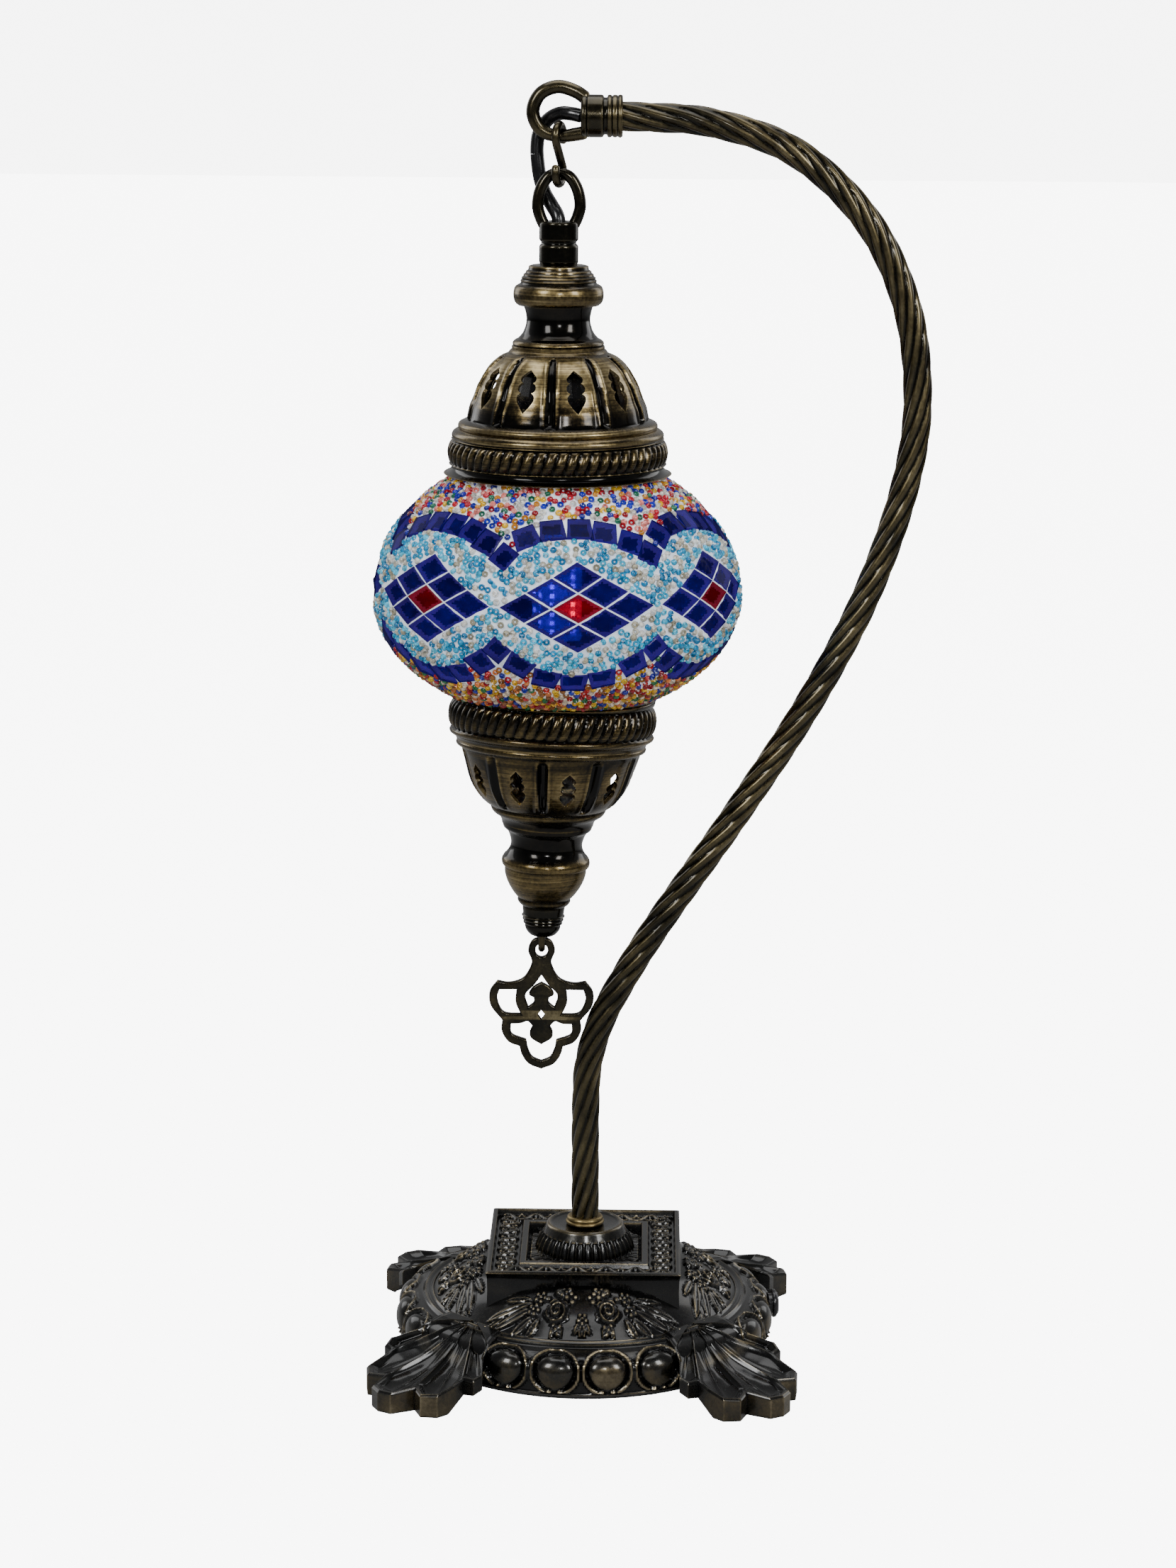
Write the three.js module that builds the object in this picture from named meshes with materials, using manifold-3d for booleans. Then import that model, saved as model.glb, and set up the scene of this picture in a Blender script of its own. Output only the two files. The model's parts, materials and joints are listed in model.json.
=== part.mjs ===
// Swan-neck table lamp with a hanging mosaic glass globe.
// Millimetres, +Z up. The origin is the centre of the base, on the plane that the lamp stands on.
// +X points the way the arm bulges, and -Y is the front.
import * as THREE from 'three';
import { mergeVertices } from 'three/addons/utils/BufferGeometryUtils.js';
import Module from 'manifold-3d';

const wasm = await Module();
wasm.setup();

// ---------------------------------------------------------------- driving dimensions
const GAP = 0.3; // clearance between neighbouring pieces
const FOOT_REACH = 92.7; // centre of the base to the tip of a foot
const BAND_RADIUS = 64; // widest part of the round base
const PLINTH_SIDE = 64.5;
const PLINTH_TOP = 35.7;
const BOSS_TOP = 42.6;
const RIM_BOTTOM = 2.8;
const FELT_THICKNESS = 2;
const PLATE_BOTTOM = 2.3;
const PLATE_TOP = 4.3;
const SCREW_CIRCLE = 44;
const SCREW_ANGLES = [60, 180, 300];
const GLAND_ANGLE = 7;
const GLAND_HEIGHT = 11;

const ARM_RADIUS = 4.2;
const ARM_BORE = 3;
const ARM_FOOT = 19; // height of the arm's lower end, inside the base
const ARM_END = 5.3; // x of the arm's upper end, inside the loop cap
const ARM_TOP = 410; // height of the arm's upper end
const CABLE_RADIUS = 2.2;
const CABLE_BORE = 2.9;

const PENDANT_X = -10.5; // the vertical line that the globe hangs on
const HOOK_WIRE = 1.15;
const HOOK_BEND = 3.45; // centreline radius of the hook's two bends
const ARM_EYE_Z = 403.6; // wire centre at the bottom of the arm's loop
const PENDANT_EYE_Z = 392.3; // wire centre at the top of the pendant's loop
const NIPPLE_RADIUS = 5;
const CAP_THICKNESS = 1.2; // sheet of the two spun caps

const GLOBE_Z = 257.5;
const GLOBE_RADIUS = 59.9; // outside of the mosaic
const GLOBE_UPPER = 46; // height of the globe's upper half
const GLOBE_LOWER = 42.5; // depth of its lower half
const MOSAIC_THICKNESS = 2.3;
const GLASS_THICKNESS = 2.2;
const GLASS_INSET = MOSAIC_THICKNESS + 1; // the mosaic stands off the flat-sided glass by its bed
const LEAN_PIVOT = 246; // the lower cap and finial lean about this height
const LEAN = THREE.MathUtils.degToRad(2.4);
const ROD_RADIUS = 3;
const EYE_Z = 137.7; // wire centre at the bottom of the charm's eye, before the lean
const EYE_WIRE = 1.15;
const CHARM_THICKNESS = 2.4;

// ---------------------------------------------------------------- finishes
const OLD_BRASS = { color: 0x4a3d22, roughness: 0.42, metalness: 0.9 };
const DARK_BRONZE = { color: 0x2b2a26, roughness: 0.45, metalness: 0.85 };
const PLAIN_BRASS = { color: 0x9a7f45, roughness: 0.4, metalness: 0.9 };
const STEEL = { color: 0x9a9a98, roughness: 0.4, metalness: 0.9 };
const FELT = { color: 0x77777a, roughness: 0.95, metalness: 0 };
const BLACK_PLASTIC = { color: 0x0c0c0e, roughness: 0.3, metalness: 0 };
const CABLE_BLACK = { color: 0x09090a, roughness: 0.25, metalness: 0 };
const CLEAR_GLASS = { color: 0xe6ecf0, roughness: 0.1, metalness: 0 };
const MOSAIC = { color: 0x2450b0, roughness: 0.3, metalness: 0 };
const OPAL = { color: 0xf4f2ea, roughness: 0.35, metalness: 0 };

// ---------------------------------------------------------------- helpers
const lamp = new THREE.Group();

// Merges a geometry's shared vertices, drops the slivers and turns every face outward.
function closed(geometry) {
  const bare = geometry.clone();
  bare.deleteAttribute('normal');
  bare.deleteAttribute('uv');
  const merged = mergeVertices(bare, 1e-4);
  const place = merged.attributes.position;
  const corners = merged.index.array;
  const kept = [];
  let volume = 0;
  const [a, b, c] = [new THREE.Vector3(), new THREE.Vector3(), new THREE.Vector3()];
  for (let i = 0; i < corners.length; i += 3) {
    const [p, q, r] = corners.slice(i, i + 3);
    if (p !== q && q !== r && r !== p) {
      kept.push(p, q, r);
      a.fromBufferAttribute(place, p);
      b.fromBufferAttribute(place, q);
      c.fromBufferAttribute(place, r);
      volume += a.dot(b.cross(c));
    }
  }
  merged.setIndex(volume < 0 ? kept.reverse() : kept);
  merged.computeVertexNormals();
  return merged;
}

function toSolid(geometry) {
  const shape = closed(geometry);
  const vertProperties = new Float32Array(shape.attributes.position.array);
  const triVerts = new Uint32Array(shape.index.array);
  return new wasm.Manifold(new wasm.Mesh({ numProp: 3, vertProperties, triVerts }));
}

function toGeometry(solid) {
  const mesh = solid.getMesh();
  const geometry = new THREE.BufferGeometry();
  geometry.setAttribute('position', new THREE.BufferAttribute(mesh.vertProperties, 3));
  geometry.setIndex(new THREE.BufferAttribute(mesh.triVerts, 1));
  return closed(geometry);
}

function joined(...geometries) {
  return toGeometry(geometries.map(toSolid).reduce((whole, next) => whole.add(next)));
}

function cut(geometry, ...tools) {
  return toGeometry(tools.map(toSolid).reduce((rest, tool) => rest.subtract(tool), toSolid(geometry)));
}

function common(first, second) {
  return toGeometry(toSolid(first).intersect(toSolid(second)));
}

// Turns a profile of [radius, height] points about +Z. A profile off the axis closes on itself.
function turned(profile, segments = 16) {
  const points = profile.map(([radius, height]) => new THREE.Vector2(radius, height));
  const onAxis = profile[0][0] === 0 && profile.at(-1)[0] === 0;
  if (!onAxis) {
    points.push(points[0].clone());
  }
  return closed(new THREE.LatheGeometry(points, segments).rotateX(Math.PI / 2));
}

function cylinder(radius, low, high, segments = 16) {
  return turned([[0, low], [radius, low], [radius, high], [0, high]], segments);
}

function washer(bore, radius, low, high, segments = 16) {
  return turned([[bore, low], [radius, low], [radius, high], [bore, high]], segments);
}

function hexNut(bore, acrossFlats, low, high) {
  const hexagon = regularPolygon(acrossFlats / Math.sqrt(3), 6);
  hexagon.holes.push(regularPolygon(bore, 12));
  const nut = new THREE.ExtrudeGeometry(hexagon, { depth: high - low, bevelEnabled: false });
  return closed(nut.translate(0, 0, low));
}

function regularPolygon(radius, sides) {
  const points = [];
  for (let i = 0; i < sides; i++) {
    const angle = (2 * Math.PI * i) / sides;
    points.push(new THREE.Vector2(radius * Math.cos(angle), radius * Math.sin(angle)));
  }
  return new THREE.Shape(points);
}

// A round tube along points. A bore makes it hollow.
function tube(points, radius, steps, sides = 8, bore = 0) {
  const section = regularPolygon(radius, sides);
  if (bore > 0) {
    section.holes.push(regularPolygon(bore, sides));
  }
  const extrudePath = new THREE.CatmullRomCurve3(points, false, 'centripetal');
  return closed(new THREE.ExtrudeGeometry(section, { steps, extrudePath, bevelEnabled: false }));
}

// The sheet-metal wall behind an outer profile, which runs from the centre hole to the rim.
function sheetWall(outer, thickness) {
  const side = Math.sign(outer.at(-1)[1] - outer[0][1]);
  const inner = outer.map(([radius, height], i) => {
    const before = outer[Math.max(i - 1, 0)];
    const after = outer[Math.min(i + 1, outer.length - 1)];
    const along = new THREE.Vector2(after[0] - before[0], after[1] - before[1]).normalize();
    return [radius - thickness * Math.abs(along.y), height + side * thickness * along.x];
  });
  inner[0][0] = outer[0][0];
  inner.at(-1)[1] = outer.at(-1)[1];
  return [...outer, ...inner.reverse()];
}

function addMesh(parent, name, geometry, finish) {
  const mesh = new THREE.Mesh(geometry, new THREE.MeshStandardMaterial(finish));
  mesh.name = name;
  parent.add(mesh);
  return mesh;
}

const at = (x, y, z) => new THREE.Vector3(x, y, z);
const degrees = THREE.MathUtils.degToRad;

// ---------------------------------------------------------------- base
// One leaf foot: a lobed outline under a top that falls from the band to the tips.
function leafFoot(angle) {
  const half = [[50, 14], [60, 21], [66.5, 25.6], [69.5, 23.5], [71.5, 18.5], [82.5, 17.4], [86, 13]];
  half.push([83.5, 7.5], [91.3, 4.6]);
  const outline = [...half, [FOOT_REACH, 0], ...half.map(([u, v]) => [u, -v]).reverse()];
  const plan = new THREE.Shape(outline.map(([u, v]) => new THREE.Vector2(u, v)));
  const block = new THREE.ExtrudeGeometry(plan, { depth: 22, bevelEnabled: false });
  const side = [[45, 0], [94, 0], [94, 6.8], [82, 7.4], [71, 10], [61, 15], [54, 18.4], [45, 18.4]];
  const wedge = new THREE.Shape(side.map(([u, z]) => new THREE.Vector2(u, z)));
  const ramp = new THREE.ExtrudeGeometry(wedge, { depth: 60, bevelEnabled: false });
  ramp.rotateX(Math.PI / 2).translate(0, 30, 0);
  return common(block, ramp).rotateZ(degrees(angle));
}

// A square block, centred on the axis.
function squareBlock(side, low, high) {
  return new THREE.BoxGeometry(side, side, high - low).translate(0, 0, (low + high) / 2);
}

function baseCasting() {
  const dome = turned([
    [0, RIM_BOTTOM], [60, RIM_BOTTOM], [62.8, 6], [BAND_RADIUS, 10.5], [62.6, 15], [58, 18.2], [53.5, 18.6],
    [52.5, 19.4], [51.4, 18.8], [43.5, 25.6], [34, 31.2], [30, 32.4], [0, 32.4],
  ], 28);
  const rim = cut(squareBlock(PLINTH_SIDE, 19, PLINTH_TOP), squareBlock(PLINTH_SIDE - 4, 34.2, 40));
  const frame = cut(squareBlock(43, 30, 35.2), squareBlock(38, 32.5, 40));
  const field = cut(joined(rim, frame), squareBlock(37.9, 32.5, 40));
  const boss = turned([
    [0, 30], [17.5, 30], [17.3, 33.5], [16.2, 36], [13.9, 39], [12.9, 41], [12.7, 42.2], [12.2, BOSS_TOP],
    [0, BOSS_TOP],
  ], 16);
  const feet = [45, 135, 225, 315].map(leafFoot);
  const cavity = turned([
    [0, 0], [56, 0], [57, 5], [57, 12], [47, 17.4], [40, 22], [30, 27], [0, 27.3],
  ], 28);
  const posts = SCREW_ANGLES.map((angle) => (
    cylinder(4, PLATE_TOP + GAP, 20.5, 12).translate(SCREW_CIRCLE, 0, 0).rotateZ(degrees(angle))
  ));
  const screwHoles = SCREW_ANGLES.map((angle) => (
    cylinder(1.8, 0, 15, 12).translate(SCREW_CIRCLE, 0, 0).rotateZ(degrees(angle))
  ));
  const shell = cut(joined(dome, field, boss, ...feet), cavity);
  const armHole = cylinder(ARM_RADIUS + GAP, 20, 50, 24);
  return cut(joined(shell, ...posts), armHole, glandHole(), ...screwHoles);
}

// Lays a piece turned about +Z along the cord's radial line through the band.
function alongGland(geometry) {
  return geometry.rotateY(Math.PI / 2).translate(0, 0, GLAND_HEIGHT).rotateZ(degrees(GLAND_ANGLE));
}

function glandHole() {
  return alongGland(cylinder(3.7, 50, 70, 16));
}

function buildBase() {
  addMesh(lamp, 'base_casting', baseCasting(), DARK_BRONZE);
  addMesh(lamp, 'felt_pad', cylinder(53, 0, FELT_THICKNESS, 28), FELT);
  const plate = cylinder(55.6, PLATE_BOTTOM, PLATE_TOP, 28);
  const plateHoles = SCREW_ANGLES.map((angle) => {
    const hole = turned([[0, 2], [3.1, 2], [3.1, 3.5], [1.8, 3.5], [1.8, 5], [0, 5]], 12);
    return hole.translate(SCREW_CIRCLE, 0, 0).rotateZ(degrees(angle));
  });
  addMesh(lamp, 'base_cover_plate', cut(plate, ...plateHoles), STEEL);
  SCREW_ANGLES.forEach((angle, i) => {
    const head = PLATE_BOTTOM + 0.1;
    const screw = turned([[0, head], [2.8, head], [2.8, 3.2], [1.5, 3.2], [1.5, 12], [0, 13]], 12);
    screw.translate(SCREW_CIRCLE, 0, 0).rotateZ(degrees(angle));
    addMesh(lamp, `cover_screw_${i + 1}`, closed(screw), STEEL);
  });
  const gland = turned([
    [2.5, 56], [3.4, 56], [3.4, 64.4], [4.8, 64.4], [4.8, 65.4], [3.9, 66.4], [2.5, 66.4],
  ], 16);
  addMesh(lamp, 'cord_gland', closed(alongGland(gland)), BLACK_PLASTIC);
}

// ---------------------------------------------------------------- arm
// Centreline of the arm above its straight foot, as [x, z].
const ARM_ROUTE = [
  [0, ARM_FOOT], [0, 55], [0, 84], [0.8, 98], [4.9, 112.9], [12.3, 127.7], [24.1, 147.3], [48.5, 183.7],
  [72.3, 222], [90.9, 259.8], [102.4, 297], [104.9, 322], [100.6, 351.4], [87.4, 378], [63.6, 399.5],
  [36.7, 408.3], [18, 409.7], [ARM_END, ARM_TOP],
];
const armPoints = ARM_ROUTE.map(([x, z]) => at(x, 0, z));

// Route of the cable out of the arm, round both loops and into the pendant.
const LINK_ROUTE = [
  at(-3.7, 0, ARM_TOP), at(-6.8, 1, 410.6), at(-10.4, 3.2, 410.6), at(-14.2, 4.9, 408.6), at(-17, 5, 404.5),
  at(-17.7, 4.8, 400), at(-17.4, 4.6, 395), at(-16.6, 4.6, 390), at(-15.1, 4.4, 385.5), at(-12.8, 2.6, 381.8),
  at(-10.8, 0.3, 378.4), at(PENDANT_X, 0, 374.5), at(PENDANT_X, 0, 350), at(PENDANT_X, 0, 326),
];

function buildArm() {
  addMesh(lamp, 'swan_neck_arm', tube(armPoints, ARM_RADIUS, 40, 10, ARM_BORE + 0.15), OLD_BRASS);
  const collar = turned([[4.5, 42.9], [5.4, 42.9], [5.8, 43.7], [5.4, 44.6], [4.5, 44.9]], 16);
  addMesh(lamp, 'arm_collar_ring', collar, PLAIN_BRASS);
  addMesh(lamp, 'arm_lock_washer', washer(4.5, 11, 25.8, 27), STEEL);
  addMesh(lamp, 'arm_lock_nut', hexNut(4.5, 17, 19.6, 25.5), STEEL);

  const body = turned([
    [0, -3.7], [6.2, -3.7], [6.7, -3.2], [6.7, 3.3], [5.9, 3.7], [5.9, 4.6], [6.7, 5], [6.7, 9.1], [6.2, 9.6],
    [0, 9.6],
  ], 16);
  const eye = [
    [-1.5, 5], [-5.5, 7.6], [-11.2, 9], [-16.6, 6.7], [-18.9, 1.3], [-16.6, -4.1], [-11.2, -6.4], [-5.5, -5.8],
    [-1.5, -5],
  ].map(([x, z]) => at(x, 0, z));
  const bore = turned([[0, -30], [CABLE_BORE, -30], [CABLE_BORE, 5], [4.5, 5], [4.5, 20], [0, 20]], 20);
  const wireBore = cylinder(CABLE_BORE, -6, 0, 20);
  const cap = joined(body.rotateY(Math.PI / 2), tube(eye, 2, 18));
  const capCut = cut(cap, wireBore.rotateY(Math.PI / 2), shoulderBore(bore));
  addMesh(lamp, 'arm_loop_cap', capCut, OLD_BRASS).position.z = ARM_TOP;
}

// The stepped bore, kept to the cap's own length and laid along +X.
function shoulderBore(bore) {
  return common(bore, cylinder(8, -4, 21)).rotateY(Math.PI / 2);
}

function buildCable() {
  const entry = [[57, 10.9], [46, 10], [34, 8.9], [22, 8.5], [12, 8.8], [4.6, 11.6], [0.9, 16]];
  const slope = Math.tan(degrees(GLAND_ANGLE));
  const route = entry.map(([x, z]) => at(x, x * slope, z));
  route.push(at(0, 0, 24), ...armPoints.slice(1, -1), at(ARM_END, 0, ARM_TOP), ...LINK_ROUTE);
  addMesh(lamp, 'lamp_cable', tube(route, CABLE_RADIUS, 100), CABLE_BLACK);
}

// ---------------------------------------------------------------- hook
function buildHook() {
  const points = [];
  const bend = (centre, from, to) => {
    for (let i = 0; i <= 10; i++) {
      const angle = degrees(from + ((to - from) * i) / 10);
      points.push(at(PENDANT_X, HOOK_BEND * Math.cos(angle), centre + HOOK_BEND * Math.sin(angle)));
    }
  };
  const lean = 90 - THREE.MathUtils.radToDeg(Math.acos((2 * HOOK_BEND) / (ARM_EYE_Z - PENDANT_EYE_Z)));
  bend(ARM_EYE_Z, -40, 180 + lean);
  bend(PENDANT_EYE_Z, lean, -220);
  addMesh(lamp, 's_hook', tube(points, HOOK_WIRE, 32), STEEL);
}

// ---------------------------------------------------------------- pendant
const pendant = new THREE.Group();
pendant.position.x = PENDANT_X;
lamp.add(pendant);

// Radius of the globe at a height, for an outer skin moved in by an offset.
function globeProfile(offset, topRadius, bottomRadius, pieces = 7) {
  const radius = GLOBE_RADIUS - offset;
  const points = [];
  const start = Math.acos(topRadius / radius);
  const end = -Math.acos(bottomRadius / radius);
  for (let i = 0; i <= pieces; i++) {
    const angle = start + ((end - start) * i) / pieces;
    const half = (angle > 0 ? GLOBE_UPPER : GLOBE_LOWER) - offset;
    points.push([radius * Math.cos(angle), GLOBE_Z + half * Math.sin(angle)]);
  }
  return points;
}

function buildPendantTop() {
  const body = turned([
    [0, 363.5], [5.9, 363.5], [6.25, 363.9], [6.25, 369.4], [5.6, 369.7], [5.6, 370.6], [6.25, 371],
    [6.25, 376.6], [5.8, 377], [0, 377],
  ], 20);
  const right = [[4.3, 375], [6, 378.6], [6.75, 382.2], [5.7, 387.4], [3.1, 391.2]];
  const left = right.map(([x, z]) => [-x, z]).reverse();
  const eye = [...right, [0, PENDANT_EYE_Z], ...left].map(([x, z]) => at(x, 0, z));
  const bore = turned([[0, 360], [5.3, 360], [5.3, 368.6], [CABLE_BORE, 368.6], [CABLE_BORE, 378], [0, 378]], 20);
  addMesh(pendant, 'pendant_loop_cap', cut(joined(body, tube(eye, 1.7, 18)), bore), OLD_BRASS);

  const bored = NIPPLE_RADIUS + GAP;
  const knob = turned([
    [bored, 363.2], [7, 363.2], [10, 361.6], [12.2, 357.2], [13.2, 354.8], [14.2, 353.8], [14.3, 352],
    [13.3, 350.5], [bored, 350.5],
  ], 20);
  addMesh(pendant, 'top_knob', knob, OLD_BRASS);
  const neck = turned([
    [bored, 350.2], [11.2, 350.2], [10.3, 347], [10.6, 343.7], [11.5, 341.4], [13.4, 339.1], [14.9, 337.1],
    [bored, 337.1],
  ], 20);
  addMesh(pendant, 'upper_neck', neck, OLD_BRASS);

  const dome = [
    [bored, 336.8], [14.8, 336.6], [17.8, 334.6], [20.8, 332.3], [24.2, 327.7], [26.4, 323.1], [28.2, 318.5],
    [29.7, 314], [33.3, 309.4], [35.1, 304.8], [34.4, 300.2], [35.8, 294.9],
  ];
  addMesh(pendant, 'upper_cap', turned(sheetWall(dome, CAP_THICKNESS), 24), OLD_BRASS);
  addMesh(pendant, 'upper_nipple', washer(3.3, NIPPLE_RADIUS, 324, 368.3, 20), PLAIN_BRASS);
  addMesh(pendant, 'cap_lock_nut', hexNut(bored, 16, 331.4, 335.1), STEEL);
}

function buildLampholder() {
  const bored = NIPPLE_RADIUS + GAP;
  const top = turned([
    [bored, 331.1], [8, 331.1], [11.5, 328], [13, 322], [13, 318], [11, 318], [11, 321.5], [bored, 322.5],
  ]);
  addMesh(pendant, 'lampholder_cap', top, BLACK_PLASTIC);
  const body = turned([
    [0, 303], [9, 303], [9, 280], [12.5, 280], [12.5, 290.8], [16, 290.8], [16, 292.6], [12.5, 292.6],
    [12.5, 312], [10.7, 312], [10.7, 317.7], [0, 317.7],
  ]);
  addMesh(pendant, 'lampholder_body', body, BLACK_PLASTIC);
  const bar = joined(washer(12.8, 16, 287.4, 289.5), holderArm(1), holderArm(-1));
  addMesh(pendant, 'globe_holder_bar', bar, STEEL);
  addMesh(pendant, 'lampholder_ring', washer(12.8, 16.4, 281.5, 287.1), BLACK_PLASTIC);
  const screw = turned([[0, 279.6], [6.6, 279.6], [6.9, 284], [6.9, 296], [4, 300], [0, 300.5]], 20);
  addMesh(pendant, 'bulb_screw_cap', screw, STEEL);
  const bulb = [[0, 279.3], [7.2, 279.3], [7.6, 276.5]];
  for (let i = 0; i <= 8; i++) {
    const angle = degrees(60 - 18.75 * i);
    bulb.push([19 * Math.cos(angle), 258.5 + 19 * Math.sin(angle)]);
  }
  bulb.at(-1)[0] = 0;
  addMesh(pendant, 'bulb_glass', turned(bulb), OPAL);
}

// One flat arm of the bar that carries the globe, along +Y or -Y.
function holderArm(way) {
  return new THREE.BoxGeometry(9, 17.3, 2.1).translate(0, way * 23.4, 288.45);
}

function buildGlobe() {
  const glassOuter = globeProfile(GLASS_INSET, 31, 29);
  const glassInner = globeProfile(GLASS_INSET + GLASS_THICKNESS, 31, 29);
  const glass = turned([...glassOuter, ...glassInner.reverse()], 24);
  addMesh(pendant, 'globe_glass', glass, CLEAR_GLASS);
  const skinOuter = globeProfile(0, 35.8, 33.6, 8);
  const skinInner = globeProfile(MOSAIC_THICKNESS, 34.6, 32.4, 8);
  const skin = turned([...skinOuter, ...skinInner.reverse()], 36);
  addMesh(pendant, 'mosaic_skin', skin, MOSAIC);
}

// ---------------------------------------------------------------- lower cap and finial
function buildLowerAssembly() {
  const leaning = new THREE.Group();
  leaning.position.z = LEAN_PIVOT;
  leaning.rotation.y = LEAN;
  pendant.add(leaning);
  const add = (name, geometry, finish) => {
    addMesh(leaning, name, geometry.translate(0, 0, -LEAN_PIVOT), finish);
  };
  const bored = ROD_RADIUS + GAP;

  const dish = [
    [bored, 180.4], [15.1, 180.6], [18.1, 185.3], [21, 187.7], [24.5, 192.5], [26.6, 197.2], [28, 202],
    [29.4, 206.7], [31.9, 211.4], [33.7, 216.5], [33.4, 220.4],
  ];
  add('lower_cap', turned(sheetWall(dish, CAP_THICKNESS), 24), OLD_BRASS);

  const bar = cut(new THREE.BoxGeometry(10, 63, 2).translate(0, 0, 229.5), cylinder(bored, 220, 240));
  add('lower_clamp_bar', bar, STEEL);
  add('finial_rod', cylinder(ROD_RADIUS, 148.2, 237), STEEL);
  add('finial_rod_nut', hexNut(bored, 10, 230.8, 235.4), STEEL);
  const finial = turned([
    [bored, 180.1], [14.6, 180.1], [13.1, 178.2], [11.8, 173.4], [12.4, 171], [14.6, 169.3], [14.6, 167.5],
    [13.4, 163.7], [11.5, 158.9], [8.2, 154.4], [7.4, 152.7], [bored, 152.7],
  ], 20);
  add('lower_finial', finial, OLD_BRASS);

  const endCap = turned([
    [0, 142.2], [4.5, 142.2], [5.4, 143.6], [6.1, 147], [7, 151], [7, 152.4], [bored, 152.4], [bored, 147.9],
    [0, 147.9],
  ], 16);
  const legHoles = [2.75, -2.75].map((y) => cylinder(EYE_WIRE + GAP, 141, 146.8, 12).translate(0, y, 0));
  add('lower_end_cap', cut(endCap, ...legHoles), OLD_BRASS);

  const eye = [at(0, 2.75, 146.5), at(0, 2.75, 143.5)];
  for (let angle = 0; angle >= -180; angle -= 22.5) {
    const turn = degrees(angle);
    eye.push(at(0, 2.75 * Math.cos(turn), EYE_Z + 2.75 + 2.75 * Math.sin(turn)));
  }
  eye.push(at(0, -2.75, 143.5), at(0, -2.75, 146.5));
  add('charm_eye', tube(eye, EYE_WIRE, 20), OLD_BRASS);
}

// ---------------------------------------------------------------- charm
// Half outlines as [x, z] from the middle of the hanging hole. Each list is one smooth stretch.
const CHARM_OUTLINE = [
  [[0, 4.3], [3, 3.1], [4.3, 0], [3.3, -2.7]],
  [[3.3, -2.7], [3.1, -4.1], [5.9, -9.1], [10.8, -10.8], [14.8, -10.3]],
  [[14.8, -10.3], [17.2, -13.6], [17, -18], [13, -23]],
  [[13, -23], [13.2, -26.5], [11, -30], [7.2, -31.5]],
  [[7.2, -31.5], [5.9, -35.3], [0, -38.9]],
];
const CHARM_ARCH = [
  [[0, -7.8], [2.6, -11.3], [5.6, -14.7], [4.5, -18.9]],
  [[4.5, -18.9], [2.3, -17], [2.4, -15.4]],
  [[2.4, -15.4], [4, -14.4], [2.6, -12.2], [0, -10.7]],
];
const CHARM_LOWER = [
  [[0, -30.8], [3.5, -28.5], [3.6, -26.6], [2.7, -24.9]],
  [[2.7, -24.9], [4.6, -23.2], [7, -23.9], [10.5, -24.1]],
  [[10.5, -24.1], [10.2, -27.5], [5.2, -29.6]],
  [[5.2, -29.6], [4.5, -32.8], [0, -36.8]],
];
const CHARM_DIAMOND = [[[0, -18.9], [1.9, -21.1]], [[1.9, -21.1], [0, -23.5]]];
const CHARM_WING = [
  [[8.2, -12.7], [14.3, -12.8]],
  [[14.3, -12.8], [15.1, -15.8], [12.9, -20.4], [6.7, -21.1]],
  [[6.7, -21.1], [8.5, -17], [8.2, -12.7]],
];

// Points along the smooth stretches of a half outline.
function smooth(stretches, steps = 3) {
  const points = [];
  for (const stretch of stretches) {
    const curve = new THREE.SplineCurve(stretch.map(([x, z]) => new THREE.Vector2(x, z)));
    const pieces = stretch.length > 2 ? steps : 1;
    points.push(...curve.getPoints(pieces).slice(0, -1));
  }
  return points;
}

// A half outline from the middle line back to it, with its mirror image.
function mirrored(stretches) {
  const right = smooth(stretches);
  const last = stretches.at(-1).at(-1);
  const bottom = new THREE.Vector2(last[0], last[1]);
  const left = right.slice(1).map((point) => new THREE.Vector2(-point.x, point.y)).reverse();
  return [...right, bottom, ...left];
}

function buildCharm() {
  const plate = new THREE.Shape(mirrored(CHARM_OUTLINE).reverse());
  const wing = smooth(CHARM_WING);
  const holes = [mirrored(CHARM_ARCH), mirrored(CHARM_LOWER), mirrored(CHARM_DIAMOND), wing];
  holes.push(wing.map((point) => new THREE.Vector2(-point.x, point.y)));
  holes.push(regularPolygon(2.3, 12).getPoints());
  plate.holes = holes.map((points) => new THREE.Path(points));
  const charm = new THREE.ExtrudeGeometry(plate, { depth: CHARM_THICKNESS, bevelEnabled: false });
  charm.rotateX(Math.PI / 2).translate(0, CHARM_THICKNESS / 2, 0);
  const drop = LEAN_PIVOT - EYE_Z;
  const mesh = addMesh(lamp, 'charm', closed(charm), OLD_BRASS);
  const wireZ = LEAN_PIVOT - drop * Math.cos(LEAN);
  mesh.position.set(PENDANT_X - drop * Math.sin(LEAN), 0, wireZ + EYE_WIRE + 0.6 - 2.3);
}

buildBase();
buildArm();
buildCable();
buildHook();
buildPendantTop();
buildLampholder();
buildGlobe();
buildLowerAssembly();
buildCharm();

export default lamp;
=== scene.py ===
"""The looks of a swan-neck mosaic table lamp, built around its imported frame.

Lengths are in millimetres until a mesh is made. An angle round an upright axis is in degrees, from the front
(-Y) towards +X. Every shape is (points, faces): an array of points and a list of index arrays.
"""
import json
import math

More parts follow.
